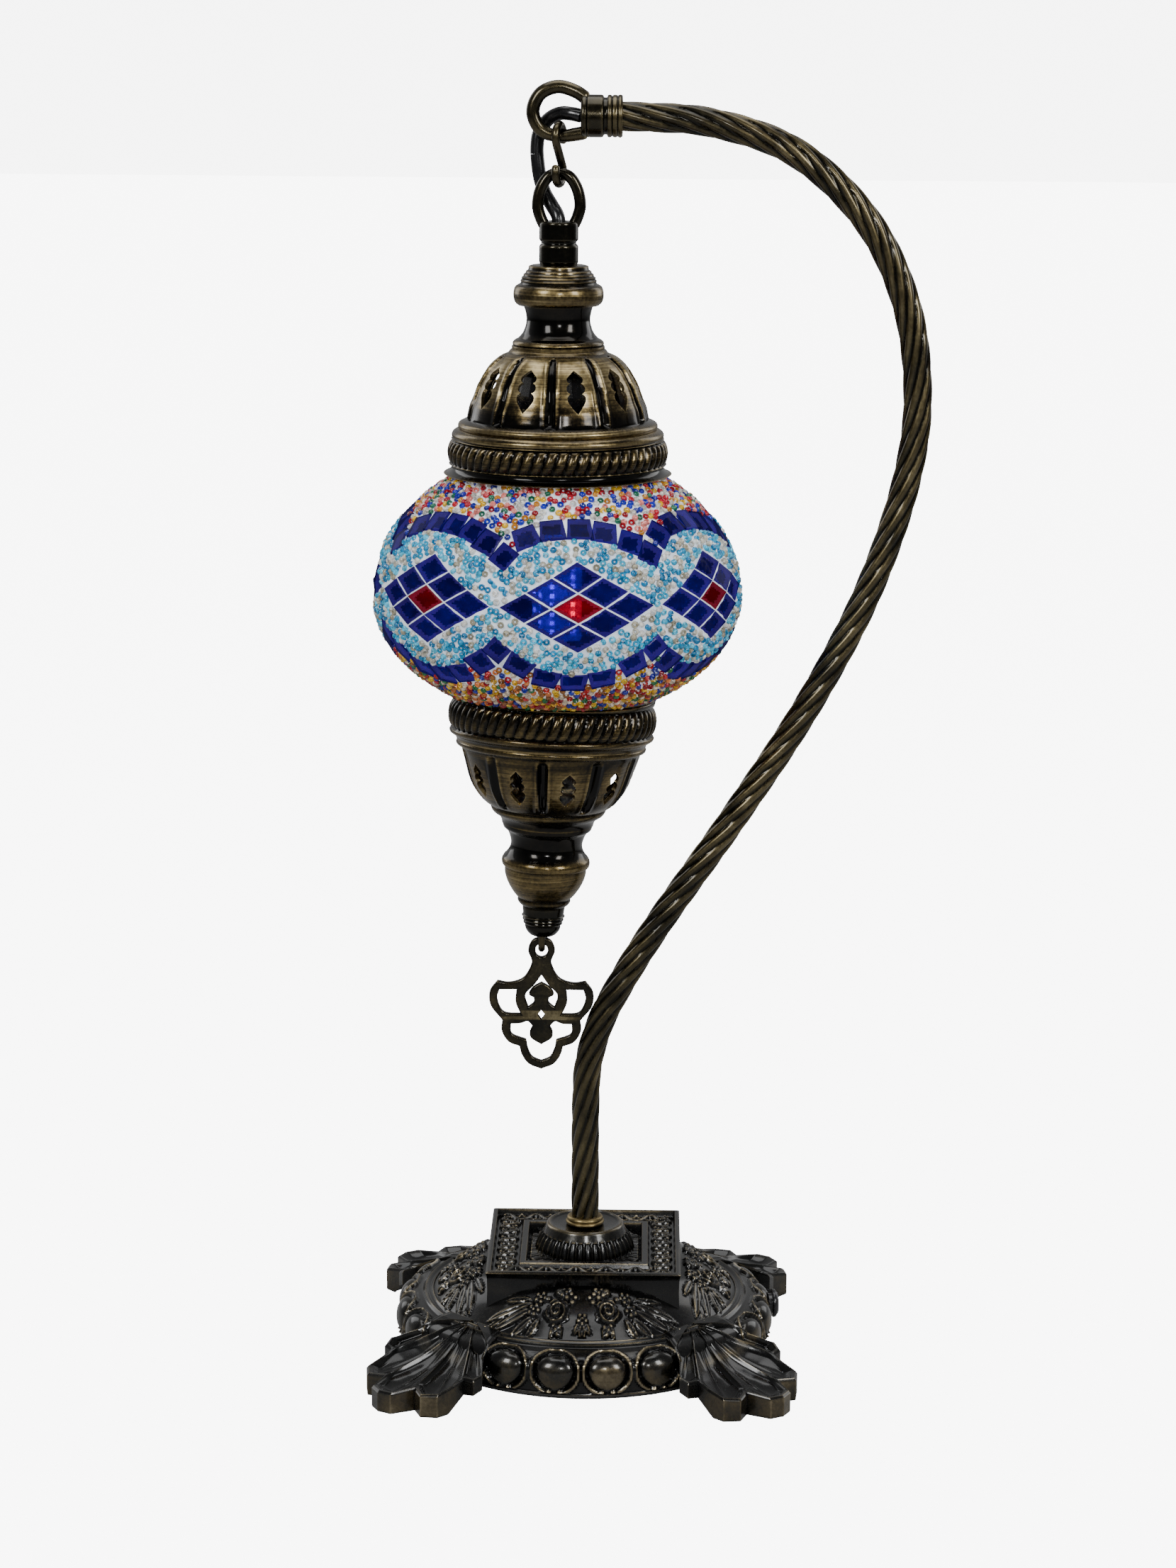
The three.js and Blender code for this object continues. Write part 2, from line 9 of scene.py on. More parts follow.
import bmesh
import bpy
import numpy as np
from mathutils import Matrix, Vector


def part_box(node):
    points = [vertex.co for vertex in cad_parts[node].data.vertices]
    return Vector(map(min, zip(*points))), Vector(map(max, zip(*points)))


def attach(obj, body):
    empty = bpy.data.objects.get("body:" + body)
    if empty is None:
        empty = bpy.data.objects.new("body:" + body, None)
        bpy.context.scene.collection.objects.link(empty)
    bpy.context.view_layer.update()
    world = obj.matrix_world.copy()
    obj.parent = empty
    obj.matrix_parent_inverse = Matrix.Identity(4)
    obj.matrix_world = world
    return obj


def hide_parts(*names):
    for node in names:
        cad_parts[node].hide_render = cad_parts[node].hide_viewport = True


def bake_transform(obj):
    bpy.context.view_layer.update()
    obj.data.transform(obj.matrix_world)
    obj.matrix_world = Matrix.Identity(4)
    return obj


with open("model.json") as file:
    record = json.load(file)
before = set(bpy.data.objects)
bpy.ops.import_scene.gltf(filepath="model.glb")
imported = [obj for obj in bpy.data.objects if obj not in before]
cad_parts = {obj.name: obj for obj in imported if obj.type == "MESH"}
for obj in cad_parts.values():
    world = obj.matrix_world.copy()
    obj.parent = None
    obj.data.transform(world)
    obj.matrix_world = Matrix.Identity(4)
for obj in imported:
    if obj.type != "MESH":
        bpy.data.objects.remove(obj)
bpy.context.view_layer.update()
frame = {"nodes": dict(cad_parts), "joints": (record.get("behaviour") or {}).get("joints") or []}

MM = 0.001
SEED = 11
BACKDROP = 8.0

# ---------------------------------------------------------------- driving dimensions
JOINTS = {joint["name"]: joint for joint in frame["joints"]}
PENDANT_X, _, ARM_EYE_Z = (value / MM for value in JOINTS["hook_swing"]["pos_m"])
PENDANT_EYE_Z = JOINTS["pendant_swing"]["pos_m"][2] / MM
LEAN_PIVOT = 246
LEAN = math.radians(2.4)
PLINTH_HALF = 32.25
PLINTH_TOP = 35.7
PLINTH_FIELD = 33.7
FRAME_OUTSIDE = 21.8
FRAME_INSIDE = 18.8
BORDER_MIDDLE = 26
BORDER_HALF = 4
FOOT_ROOT = 50
GLAND_ANGLE = 7
GLAND_HEIGHT = 11
ARM_RADIUS = 4.7
ARM_TOP = 410
CABLE_RADIUS = 2.2
HOOK_WIRE = 1.35
ARM_LOOP_WIRE = 2.15
PENDANT_LOOP_WIRE = 1.9
LINK_WEAR = 0.35
LINK_WEAR_WIDTH = 2.6
HOOK_BEND = 3.55
HOOK_YAW = math.radians(18)
CAP_THICKNESS = 1.2
GLOBE_Z = 257.5
GLOBE_RADIUS = 59.9
GLOBE_UPPER = 46
GLOBE_LOWER = 40
EYE_Z = 137.7
EYE_WIRE = 1.15
CHARM_THICKNESS = 2.4
DIAMONDS = 7
PERIOD = 360 / DIAMONDS
FIRST_DIAMOND = 7.9
DIAMOND_Z = 262.1
DIAMOND_HALF_WIDTH = 24.6
DIAMOND_HALF_HEIGHT = 14.4
CORE_TURN = 17


# ---------------------------------------------------------------- camera, lights and floor
# Places and sizes here are in metres, and each softbox has its place, target, size and watts.
CAMERA_PLACE = (0.01735, -1.1424, 0.4463)
CAMERA_PITCH = 12.46
CAMERA_YAW = 0.87
CAMERA_ROLL = 0.4
CAMERA_LENS = 81.65
SOFTBOXES = [
    ("key_left", (-0.75, -0.95, 0.95), (0, 0, 0.25), (0.35, 0.5), 9),
    ("key_right", (0.85, -0.85, 0.85), (0, 0, 0.25), (0.3, 0.5), 8),
    ("front_spot", (0.12, -1.3, 0.75), (0, 0, 0.2), (0.16, 0.16), 3),
    ("top", (0, 0.1, 1.4), (0, 0, 0.2), (1.0, 1.0), 9),
    ("back_left", (-0.9, 0.8, 0.7), (0, 0, 0.25), (0.5, 0.9), 2.5),
    ("back_right", (0.9, 0.8, 0.7), (0, 0, 0.25), (0.5, 0.9), 2.5),
]
FLOOR_HALF = 8000
CORNERS = [(-1, -1), (1, -1), (1, 1), (-1, 1)]


def make_camera():
    pitch, yaw, roll = np.radians([CAMERA_PITCH, CAMERA_YAW, CAMERA_ROLL]).tolist()
    forward = np.array([-math.sin(yaw) * math.cos(pitch), math.cos(yaw) * math.cos(pitch), -math.sin(pitch)])
    right = np.array([math.cos(yaw), math.sin(yaw), 0])
    up = np.cross(right, forward)
    rolled_right = right * math.cos(roll) + up * math.sin(roll)
    rolled_up = up * math.cos(roll) - right * math.sin(roll)
    matrix = Matrix.Identity(4)
    for row in range(3):
        matrix[row][:3] = [rolled_right[row], rolled_up[row], -forward[row]]
    matrix.translation = CAMERA_PLACE
    camera = bpy.data.objects.new("camera", bpy.data.cameras.new("camera"))
    bpy.context.scene.collection.objects.link(camera)
    camera.matrix_world = matrix
    camera.data.lens = CAMERA_LENS
    camera.data.sensor_width = 36
    camera.data.clip_start = 0.05
    bpy.context.scene.camera = camera


def softbox(name, place, target, size, watts):
    light = bpy.data.lights.new(name, "AREA")
    light.shape = "RECTANGLE"
    light.size, light.size_y = size
    light.energy = watts
    box = bpy.data.objects.new(name, light)
    bpy.context.scene.collection.objects.link(box)
    box.location = place
    direction = np.array(target, float) - np.array(place, float)
    back = -direction / np.linalg.norm(direction)
    side = np.cross([0, 0, 1], back)
    side /= np.linalg.norm(side)
    matrix = Matrix.Identity(4)
    for row, column in enumerate(zip(side, np.cross(back, side), back)):
        matrix[row][:3] = column
    matrix.translation = place
    box.matrix_world = matrix


def make_studio():
    for name, place, target, size, watts in SOFTBOXES:
        softbox(name, place, target, size, watts)
    world = bpy.data.worlds.new("studio")
    bpy.context.scene.world = world
    world.use_nodes = True
    tree = world.node_tree
    tree.nodes.clear()
    graph = Graph(tree)
    # The room is dim in front of the lamp and brighter behind it. The camera sees a white backdrop instead.
    direction = graph("ShaderNodeSeparateXYZ", {0: graph("ShaderNodeTexCoord", {}, out="Generated")}, out="Y")
    room = graph("ShaderNodeMapRange", {0: direction, 1: -0.35, 2: 0.45, 3: 0.15, 4: 0.4})
    seen = graph("ShaderNodeLightPath", {}, out="Is Camera Ray")
    level = graph("ShaderNodeMix", {0: seen, 2: room, 3: BACKDROP + 0.5})
    background = graph("ShaderNodeBackground", {1: level})
    graph("ShaderNodeOutputWorld", {0: background})


def make_floor():
    points = np.array([(x, y, 0) for x, y in CORNERS], float) * FLOOR_HALF
    floor = bpy.data.objects.new("floor", mesh_of("floor", (points, [np.array([[0, 1, 2, 3]])])))
    bpy.context.scene.collection.objects.link(floor)
    white = (1, 1, 1, 1)
    constants = {"Base Color": (0.35, 0.35, 0.35, 1), "Roughness": 0.9, "Emission Color": white}
    material, graph = new_material("floor_white", constants)
    seen = graph("ShaderNodeLightPath", {}, out="Is Camera Ray")
    graph.feed("Emission Strength", graph.remap(seen, 0, 1, 0.0, BACKDROP))
    floor.data.materials.append(material)


# ---------------------------------------------------------------- node materials
class Graph:
    """Adds nodes to a tree: each call makes one node, sets or links its inputs and returns an output."""

    def __init__(self, tree):
        self.tree = tree

    def __call__(self, kind, inputs, out=0, **settings):
        node = self.tree.nodes.new(kind)
        for name, value in settings.items():
            setattr(node, name, value)
        for key, value in inputs.items():
            if isinstance(value, bpy.types.NodeSocket):
                self.tree.links.new(value, node.inputs[key])
            else:
                node.inputs[key].default_value = value
        return node.outputs[out] if len(node.outputs) else node

    def math(self, operation, first, second=0.0, clamp=False):
        return self("ShaderNodeMath", {0: first, 1: second}, operation=operation, use_clamp=clamp)

    def place(self, scale=(1, 1, 1)):
        coordinates = self("ShaderNodeTexCoord", {}, out="Object")
        return self("ShaderNodeMapping", {"Vector": coordinates, "Scale": scale})

    def noise(self, size, detail=2.0, scale=(1, 1, 1), roughness=0.5):
        """Noise whose patches are about size metres across."""
        inputs = {"Vector": self.place(scale), "Scale": 1 / size, "Detail": detail, "Roughness": roughness}
        return self("ShaderNodeTexNoise", inputs, out=0)

    def remap(self, value, low, high, to_low=0.0, to_high=1.0):
        return self("ShaderNodeMapRange", {0: value, 1: low, 2: high, 3: to_low, 4: to_high})

    def ramp(self, factor, stops):
        node = self.tree.nodes.new("ShaderNodeValToRGB")
        elements = node.color_ramp.elements
        while len(elements) < len(stops):
            elements.new(0.5)
        for element, (position, colour) in zip(elements, stops):
            element.position = position
            element.color = (*colour, 1)
        self.tree.links.new(factor, node.inputs[0])
        return node.outputs[0]

    def bump(self, height, strength, depth):
        return self("ShaderNodeBump", {"Height": height, "Strength": strength, "Distance": depth})

    def feed(self, socket, output):
        """Links an output to a socket of the material's Principled shader."""
        self.tree.links.new(output, self.tree.nodes["Principled BSDF"].inputs[socket])


def new_material(name, constants):
    """A material with one Principled shader, whose sockets get these constant values, and its graph."""
    material = bpy.data.materials.new(name)
    material.use_nodes = True
    shader = material.node_tree.nodes["Principled BSDF"]
    for socket, value in constants.items():
        shader.inputs[socket].default_value = value
    return material, Graph(material.node_tree)


def patinated(name, stops, brushed, roughness, mottle=0.35, grain=0.0001, speckle=0.09, gloss=0.5,
              lacquer=0.35):
    """Old metal: dark in the hollows, bright where the mesh's wear is high, with brush lines and mottling.

    Brush lines show on the worn parts only. The dark parts are smoother, by the factor gloss.
    """
    constants = {"Metallic": 1.0, "Coat Weight": lacquer, "Coat Roughness": 0.12}
    material, graph = new_material(name, constants)
    wear = graph("ShaderNodeAttribute", {}, out="Fac", attribute_name="wear")
    patches = graph.noise(0.011, 3.0)
    fine = graph.noise(0.0011, 3.0)
    lines = graph.math("MULTIPLY", graph.remap(graph.noise(0.02, 3.0, brushed), 0.25, 0.75, -1.0, 1.0),
                       graph.remap(wear, 0.15, 0.6, 0.1, 1.0))
    tone = graph.math("ADD", wear, graph.remap(patches, 0.3, 0.7, -mottle / 2, mottle / 2))
    tone = graph.math("ADD", tone, graph.math("MULTIPLY", lines, 0.22))
    tone = graph.math("ADD", tone, graph.remap(fine, 0.3, 0.7, -speckle, speckle), clamp=True)
    graph.feed("Base Color", graph.ramp(tone, stops))
    rough = graph.math("ADD", graph.remap(wear, 0.1, 0.7, roughness * gloss, roughness + 0.05),
                       graph.remap(fine, 0.3, 0.7, -0.03, 0.05))
    graph.feed("Roughness", rough)
    height = graph.math("ADD", graph.math("MULTIPLY", lines, 0.35), graph.math("MULTIPLY", fine, 0.6))
    graph.feed("Normal", graph.bump(height, 0.35, grain))
    return material


BRASS_STOPS = [
    (0.0, (0.004, 0.0035, 0.003)), (0.25, (0.012, 0.0095, 0.006)), (0.5, (0.06, 0.043, 0.018)),
    (0.75, (0.19, 0.142, 0.06)), (1.0, (0.4, 0.32, 0.16)),
]
DEEP_BRASS_STOPS = [
    (0.0, (0.004, 0.0035, 0.003)), (0.25, (0.013, 0.01, 0.006)), (0.5, (0.068, 0.049, 0.019)),
    (0.75, (0.19, 0.138, 0.054)), (1.0, (0.36, 0.28, 0.13)),
]
BRONZE_STOPS = [
    (0.0, (0.006, 0.0062, 0.0066)), (0.35, (0.017, 0.0172, 0.017)), (0.6, (0.04, 0.037, 0.031)),
    (0.8, (0.11, 0.088, 0.05)), (1.0, (0.28, 0.23, 0.14)),
]
ARM_STOPS = [
    (0.0, (0.0042, 0.004, 0.0033)), (0.3, (0.013, 0.0118, 0.008)), (0.55, (0.04, 0.033, 0.0175)),
    (0.8, (0.115, 0.092, 0.045)), (1.0, (0.26, 0.215, 0.115)),
]
ROUND_Z = (0.9, 0.9, 46)
EVEN = (1, 1, 1)


def plain_metal(name, colour, roughness, stain):
    """Bare plated metal with faint stains and scratches."""
    material, graph = new_material(name, {"Metallic": 1.0})
    patches = graph.noise(0.006, 4.0)
    scratches = graph.noise(0.004, 2.0, (1, 12, 1))
    stained = [tuple(channel * stain for channel in colour), colour]
    graph.feed("Base Color", graph.ramp(patches, [(0.35, stained[0]), (0.65, stained[1])]))
    graph.feed("Roughness", graph.remap(scratches, 0.3, 0.7, roughness - 0.06, roughness + 0.1))
    graph.feed("Normal", graph.bump(scratches, 0.2, 0.00004))
    return material


def moulded(name, colour, roughness, grain):
    """Moulded plastic or rubber with a fine grain."""
    material, graph = new_material(name, {"Coat Weight": 0.15, "Coat Roughness": 0.2})
    fine = graph.noise(grain, 2.0)
    tones = [tuple(channel * 0.7 for channel in colour), tuple(channel * 1.3 for channel in colour)]
    graph.feed("Base Color", graph.ramp(fine, [(0.35, tones[0]), (0.65, tones[1])]))
    graph.feed("Roughness", graph.remap(fine, 0.3, 0.7, roughness - 0.04, roughness + 0.08))
    graph.feed("Normal", graph.bump(fine, 0.25, 0.00003))
    return material


def felt_material():
    material, graph = new_material("grey_felt", {"Roughness": 0.95, "Sheen Weight": 0.4})
    fibres = graph.noise(0.0007, 4.0, (1, 2.4, 1), 0.7)
    colour = graph.ramp(fibres, [(0.3, (0.12, 0.12, 0.125)), (0.7, (0.34, 0.34, 0.35))])
    graph.feed("Base Color", colour)
    graph.feed("Normal", graph.bump(fibres, 0.8, 0.0003))
    return material


def clear_glass(name, tint, ior):
    """Blown glass with slight waves."""
    constants = {"Base Color": (*tint, 1), "Transmission Weight": 1.0, "IOR": ior}
    material, graph = new_material(name, constants)
    waves = graph.noise(0.009, 2.0)
    graph.feed("Roughness", graph.remap(waves, 0.3, 0.7, 0.0, 0.03))
    graph.feed("Normal", graph.bump(waves, 0.1, 0.0001))
    return material


def tile_glass():
    """Cut coloured glass: dark by its own depth of colour, clear to what shines behind it, with a painted
    glow in its own tint.
    """
    constants = {"Transmission Weight": 1.0, "IOR": 1.0, "Coat Weight": 0.1, "Coat Roughness": 0.05,
                 "Roughness": 0.0, "Emission Strength": 1.0}
    material, graph = new_material("cut_glass", constants)
    tint = graph("ShaderNodeVertexColor", {}, layer_name="tint")
    streaks = graph.noise(0.005, 3.0, (1, 1, 1.8))
    shade = graph.remap(streaks, 0.3, 0.7, 0.75, 1.2)
    colour = graph("ShaderNodeVectorMath", {0: tint, 3: shade}, operation="SCALE")
    graph.feed("Base Color", colour)
    # Painted glow: each tile shines in its own tint, as if lit by the bulb behind it.
    graph.feed("Emission Color", colour)
    waves = graph.bump(graph.noise(0.0045, 2.0), 0.35, 0.0003)
    graph.feed("Coat Normal", waves)
    return material


def bead_glass():
    """Seed beads: bright glass with a faint painted glow, and painted shade that darkens each bead towards
    its outline.
    """
    constants = {"Roughness": 0.12, "IOR": 1.5, "Coat Weight": 0.6, "Coat Roughness": 0.04,
                 "Emission Strength": 0.12}
    material, graph = new_material("seed_bead_glass", constants)
    tint = graph("ShaderNodeVertexColor", {}, layer_name="tint")
    depth = graph.noise(0.0009, 2.0)
    # Painted shade: each bead darkens towards its outline, where its surface turns away from the view.
    rim = graph("ShaderNodeLayerWeight", {0: 0.35}, out="Facing")
    shade = graph.math("MULTIPLY", graph.remap(depth, 0.3, 0.7, 0.6, 1.35),
                       graph.remap(rim, 0.25, 0.85, 1.0, 0.16))
    colour = graph("ShaderNodeVectorMath", {0: tint, 3: shade}, operation="SCALE")
    graph.feed("Base Color", colour)
    # Painted glow: the bead's colour also shines faintly as emission.
    graph.feed("Emission Color", colour)
    graph.feed("Roughness", graph.remap(depth, 0.3, 0.7, 0.05, 0.2))
    return material


def grout_material():
    """Grey-white tile grout with a painted glow, as if lit through from inside, warmer towards the bottom of
    the globe.
    """
    material, graph = new_material("grout", {"Emission Strength": 0.4, "IOR": 1.45})
    grains = graph.noise(0.0006, 4.0, EVEN, 0.7)
    clouds = graph.noise(0.013, 3.0)
    height = graph("ShaderNodeSeparateXYZ", {0: graph("ShaderNodeTexCoord", {}, out="Object")}, out="Z")
    warm = graph.remap(height, 0.236, 0.226, 0.0, 1.0)
    cool = graph.ramp(clouds, [(0.3, (0.62, 0.69, 0.78)), (0.7, (0.8, 0.85, 0.92))])
    colour = graph("ShaderNodeMix", {0: warm, 6: cool, 7: (0.8, 0.58, 0.4, 1)}, out=2, data_type="RGBA")
    graph.feed("Base Color", colour)
    # Painted glow: the grout's colour also shines as emission, as if lit through from inside.
    graph.feed("Emission Color", colour)
    graph.feed("Roughness", graph.remap(grains, 0.3, 0.7, 0.6, 0.9))
    graph.feed("Normal", graph.bump(grains, 0.5, 0.00012))
    return material


def glowing(name, colour, strength, spread):
    """A lit surface whose glow varies a little over its face. It lights nothing by itself."""
    constants = {"Base Color": (0.8, 0.8, 0.8, 1), "Roughness": 0.4, "Emission Strength": strength}
    material, graph = new_material(name, constants)
    clouds = graph.noise(0.003, 2.0)
    dim = tuple(channel * spread for channel in colour)
    graph.feed("Emission Color", graph.ramp(clouds, [(0.3, dim), (0.7, colour)]))
    material.cycles.emission_sampling = "NONE"
    return material


# ---------------------------------------------------------------- shapes
def smooth_step(low, high, value):
    t = np.clip((value - low) / (high - low), 0, 1)
    return t * t * (3 - 2 * t)


def around(radius, angle, height):
    """Points at a radius and an angle in degrees round an upright axis."""
    turn = np.radians(angle)
    radius, turn, height = np.broadcast_arrays(radius, turn, height)
    return np.stack([radius * np.sin(turn), -radius * np.cos(turn), height], -1)


def spline(points, spacing):
    """Points about spacing apart on a smooth curve through the given ones. Two points make a line."""
    points = np.array(points, float)
    if len(points) == 2:
        count = max(1, round(float(np.linalg.norm(points[1] - points[0])) / spacing))
        return points[0] + np.linspace(0, 1, count + 1)[:, None] * (points[1] - points[0])
    ends = [2 * points[0] - points[1], *points, 2 * points[-1] - points[-2]]
    made = []
    for a, b, c, d in zip(ends, ends[1:], ends[2:], ends[3:]):
        knots = np.cumsum([0, *(math.sqrt(np.linalg.norm(q - p)) for p, q in ((a, b), (b, c), (c, d)))])
        count = max(2, round(float(np.linalg.norm(c - b)) / spacing))
        t = np.linspace(knots[1], knots[2], count, endpoint=False)[:, None]

        def mix(p, q, i, j):
            return (p * (knots[j] - t) + q * (t - knots[i])) / (knots[j] - knots[i])

        middle = mix(b, c, 1, 2)
        made.append(mix(mix(mix(a, b, 0, 1), middle, 0, 2), mix(middle, mix(c, d, 2, 3), 1, 3), 1, 2))
    return np.vstack([*made, points[-1:]])


def outline(marks, spacing=0.5):
    """A line of points from the first mark on: straight to a point, and curved through a list of points."""
    lines = []
    start = marks[0]
    for mark in marks[1:]:
        stretch = mark if isinstance(mark, list) else [mark]
        lines.append(spline([start, *stretch], spacing))
        start = stretch[-1]
    return np.vstack([line[:-1] for line in lines[:-1]] + [lines[-1]])


def run_along(path):
    """How far each point is along a path."""
    return np.concatenate([[0], np.cumsum(np.linalg.norm(np.diff(path, axis=0), axis=1))])


def lattice(points, wrap_rows=False, wrap_columns=True):
    """The quads over a grid of points of shape (rows, columns, 3)."""
    rows, columns = points.shape[:2]
    here = np.arange(rows * columns).reshape(rows, columns)
    below = np.roll(here, -1, 0)
    quads = np.stack([here, np.roll(here, -1, 1), np.roll(below, -1, 1), below], -1)
    quads = quads if wrap_rows else quads[:-1]
    quads = quads if wrap_columns else quads[:, :-1]
    return points.reshape(-1, 3), [quads.reshape(-1, 4)]


def skirted(points, faces, border, rings):
    """Closes a sheet: walls from its border down through rings of as many points, then a floor."""
    here = border
    faces = list(faces)
    for i in range(len(rings)):
        below = np.arange(len(border)) + len(points) + i * len(border)
        faces.append(np.stack([here, np.roll(here, -1), np.roll(below, -1), below], -1)[:, ::-1])
        here = below
    faces.append(here[None])
    return outward((np.vstack([points, *rings]), faces))


def merged(shapes):
    points, faces, start = [], [], 0
    for shape_points, shape_faces in shapes:
        points.append(shape_points)
        faces += [face + start for face in shape_faces]
        start += len(shape_points)
    return np.vstack(points), faces


def outward(shape):
    """The closed shape with its faces pointing out."""
    points, faces = shape
    volume = 0.0
    for group in faces:
        first = points[group[:, 0]]
        for i in range(1, group.shape[1] - 1):
            cross = np.cross(points[group[:, i]], points[group[:, i + 1]])
            volume += float(np.einsum("ij,ij->", first, cross))
    return (points, faces) if volume > 0 else (points, [group[:, ::-1] for group in faces])


def turned(loop, columns=128, swell=None):
    """A closed profile of (radius, height) turned about the axis. swell adds to the radius."""
    loop = np.array(loop, float)
    if np.allclose(loop[0], loop[-1]):
        loop = loop[:-1]
    angle = np.arange(columns) * 360 / columns
    radius, height = loop[:, :1], loop[:, 1:]
    if swell is not None:
        radius = radius + swell(angle[None], radius, height)
    return outward(lattice(around(radius, angle[None], height), wrap_rows=True))


def frames_along(path, first_side):
    """Unit tangents, sides and ups that turn as little as possible along a path."""
    tangents = np.gradient(path, axis=0)
    tangents /= np.linalg.norm(tangents, axis=1)[:, None]
    sides, side = [], np.array(first_side, float)
    for tangent in tangents:
        side = side - tangent * (side @ tangent)
        side = side / np.linalg.norm(side)
        sides.append(side)
    sides = np.array(sides)
    return tangents, sides, np.cross(tangents, sides)


def swept(path, radius, sides=20, first_side=(0, 1, 0)):
    """A bar along a path. radius is a number, one per point, or an array of shape (points, sides)."""
    path = np.array(path, float)
    _, side, up = frames_along(path, first_side)
    radius = np.array(radius, float)
    radius = radius[:, None] if radius.ndim == 1 else radius
    turn = np.arange(sides) * 2 * math.pi / sides
    rim = side[:, None] * np.cos(turn)[None, :, None] + up[:, None] * np.sin(turn)[None, :, None]
    rings = path[:, None] + rim * np.broadcast_to(radius, (len(path), sides))[..., None]
    points, faces = lattice(rings)
    ends = [np.arange(sides)[None, ::-1], np.arange(sides)[None] + sides * (len(path) - 1)]
    return outward((points, faces + ends))


def rounded_ends(path, radius, cap):
    """Radii along a path that round off over a length of cap at both ends."""
    along = run_along(path)
    nearest = np.minimum(along, along[-1] - along)
    left = np.clip(1 - nearest / cap, 0, 1)
    return radius * np.sqrt(np.clip(1 - left ** 2, 0.04, 1))


def moved(shape, offset=(0, 0, 0)):
    return shape[0] + np.array(offset, float), shape[1]


def hung(shape):
    """Puts a shape made about the upright axis on the pendant's line."""
    return moved(shape, (PENDANT_X, 0, 0))


def leaning(shape):
    """Puts a shape made about the upright axis on the line that the lower cap leans along."""
    x, y, z = shape[0].T
    z = z - LEAN_PIVOT
    turned_x = x * math.cos(LEAN) + z * math.sin(LEAN) + PENDANT_X
    turned_z = z * math.cos(LEAN) - x * math.sin(LEAN) + LEAN_PIVOT
    return np.stack([turned_x, y, turned_z], -1), shape[1]


def nodding(shape):
    """Tips the upper part of the lower cap forward about the globe's middle, fading out down its bowl."""
    x, y, z = shape[0].T
    nod = math.radians(4.5) * smooth_step(184, 213, z)
    return np.stack([x, y - (GLOBE_Z - z) * np.sin(nod), z - y * np.sin(nod)], -1), shape[1]


def spun(shape, angle):
    """Turns a shape about the upright axis, by an angle in degrees from +X towards +Y."""
    turn = math.radians(angle)
    x, y, z = shape[0].T
    turned_x = x * math.cos(turn) - y * math.sin(turn)
    turned_y = x * math.sin(turn) + y * math.cos(turn)
    return np.stack([turned_x, turned_y, z], -1), shape[1]


def laid_along_x(shape):
    """Turns a shape made about the upright axis so that its axis is +X."""
    x, y, z = shape[0].T
    return np.stack([z, y, -x], -1), shape[1]


# ---------------------------------------------------------------- pieces
def mesh_of(name, shape):
    points, faces = shape
    mesh = bpy.data.meshes.new(name)
    mesh.vertices.add(len(points))
    mesh.vertices.foreach_set("co", (points * MM).astype(np.float32).ravel())
    sizes = np.concatenate([np.full(len(group), group.shape[1]) for group in faces])
    corners = np.concatenate([group.ravel() for group in faces]).astype(np.int32)
    mesh.loops.add(len(corners))
    mesh.loops.foreach_set("vertex_index", corners)
    mesh.polygons.add(len(sizes))
    mesh.polygons.foreach_set("loop_start", (np.cumsum(sizes) - sizes).astype(np.int32))
    mesh.update(calc_edges=True)
    mesh.validate()
    return mesh


def store_wear(mesh, tone, gain, blur):
    """The wear attribute: tone plus how far each point stands proud of its neighbours."""
    count = len(mesh.vertices)
    points, normals = np.zeros(count * 3), np.zeros(count * 3)
    mesh.vertices.foreach_get("co", points)
    mesh.vertices.foreach_get("normal", normals)
    points, normals = points.reshape(-1, 3), normals.reshape(-1, 3)
    ends = np.zeros(len(mesh.edges) * 2, np.int64)
    mesh.edges.foreach_get("vertices", ends)
    ends = np.concatenate([ends, ends.reshape(-1, 2)[:, ::-1].ravel()]).reshape(-1, 2)
    degree = np.maximum(np.bincount(ends[:, 0], minlength=count), 1)

    def average(values):
        return np.bincount(ends[:, 0], values[ends[:, 1]], count) / degree

    middle = np.stack([average(points[:, axis]) for axis in range(3)], -1)
    lengths = np.linalg.norm(points[ends[:, 1]] - points[ends[:, 0]], axis=1)
    reach = np.bincount(ends[:, 0], lengths, count) / degree
    proud = -np.einsum("ij,ij->i", middle - points, normals) / np.maximum(reach, 1e-6)
    for _ in range(blur):
        proud = (proud + average(proud)) / 2
    base = tone(points / MM, normals) if callable(tone) else tone
    values = np.clip(base + gain * proud, 0, 1).astype(np.float32)
    mesh.attributes.new("wear", "FLOAT", "POINT").data.foreach_set("value", values)


def add_piece(name, shape, finish, body, replaces=(), tone=0.45, gain=2.5, blur=2, sharp=40):
    """Makes a piece from a shape or a ready mesh, gives it its finish and lets it ride on its body.

    finish is (material, slot). tone, gain and blur set the wear, and sharp is the angle of a hard edge.
    """
    material, slot = finish
    mesh = shape if isinstance(shape, bpy.types.Mesh) else mesh_of(name, shape)
    mesh.polygons.foreach_set("use_smooth", [True] * len(mesh.polygons))
    mesh.set_sharp_from_angle(angle=math.radians(sharp))
    store_wear(mesh, tone, gain, blur)
    piece = bpy.data.objects.new(name, mesh)
    bpy.context.scene.collection.objects.link(piece)
    mesh.materials.clear()
    mesh.materials.append(material)
    if body:
        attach(piece, body)
    if replaces:
        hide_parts(*replaces)
    return piece


def cut_through(shape, cutters):
    """The mesh of a closed shape with closed cutters taken out of it."""
    target = bpy.data.objects.new("target", mesh_of("target", shape))
    tool = bpy.data.objects.new("tool", mesh_of("tool", merged(cutters)))
    for obj in (target, tool):
        bpy.context.scene.collection.objects.link(obj)
    cut = target.modifiers.new("cut", "BOOLEAN")
    cut.object = tool
    cut.operation = "DIFFERENCE"
    cut.solver = "MANIFOLD"
    made = bpy.data.meshes.new_from_object(target.evaluated_get(bpy.context.evaluated_depsgraph_get()))
    for obj in (target, tool):
        bpy.data.objects.remove(obj)
    return made


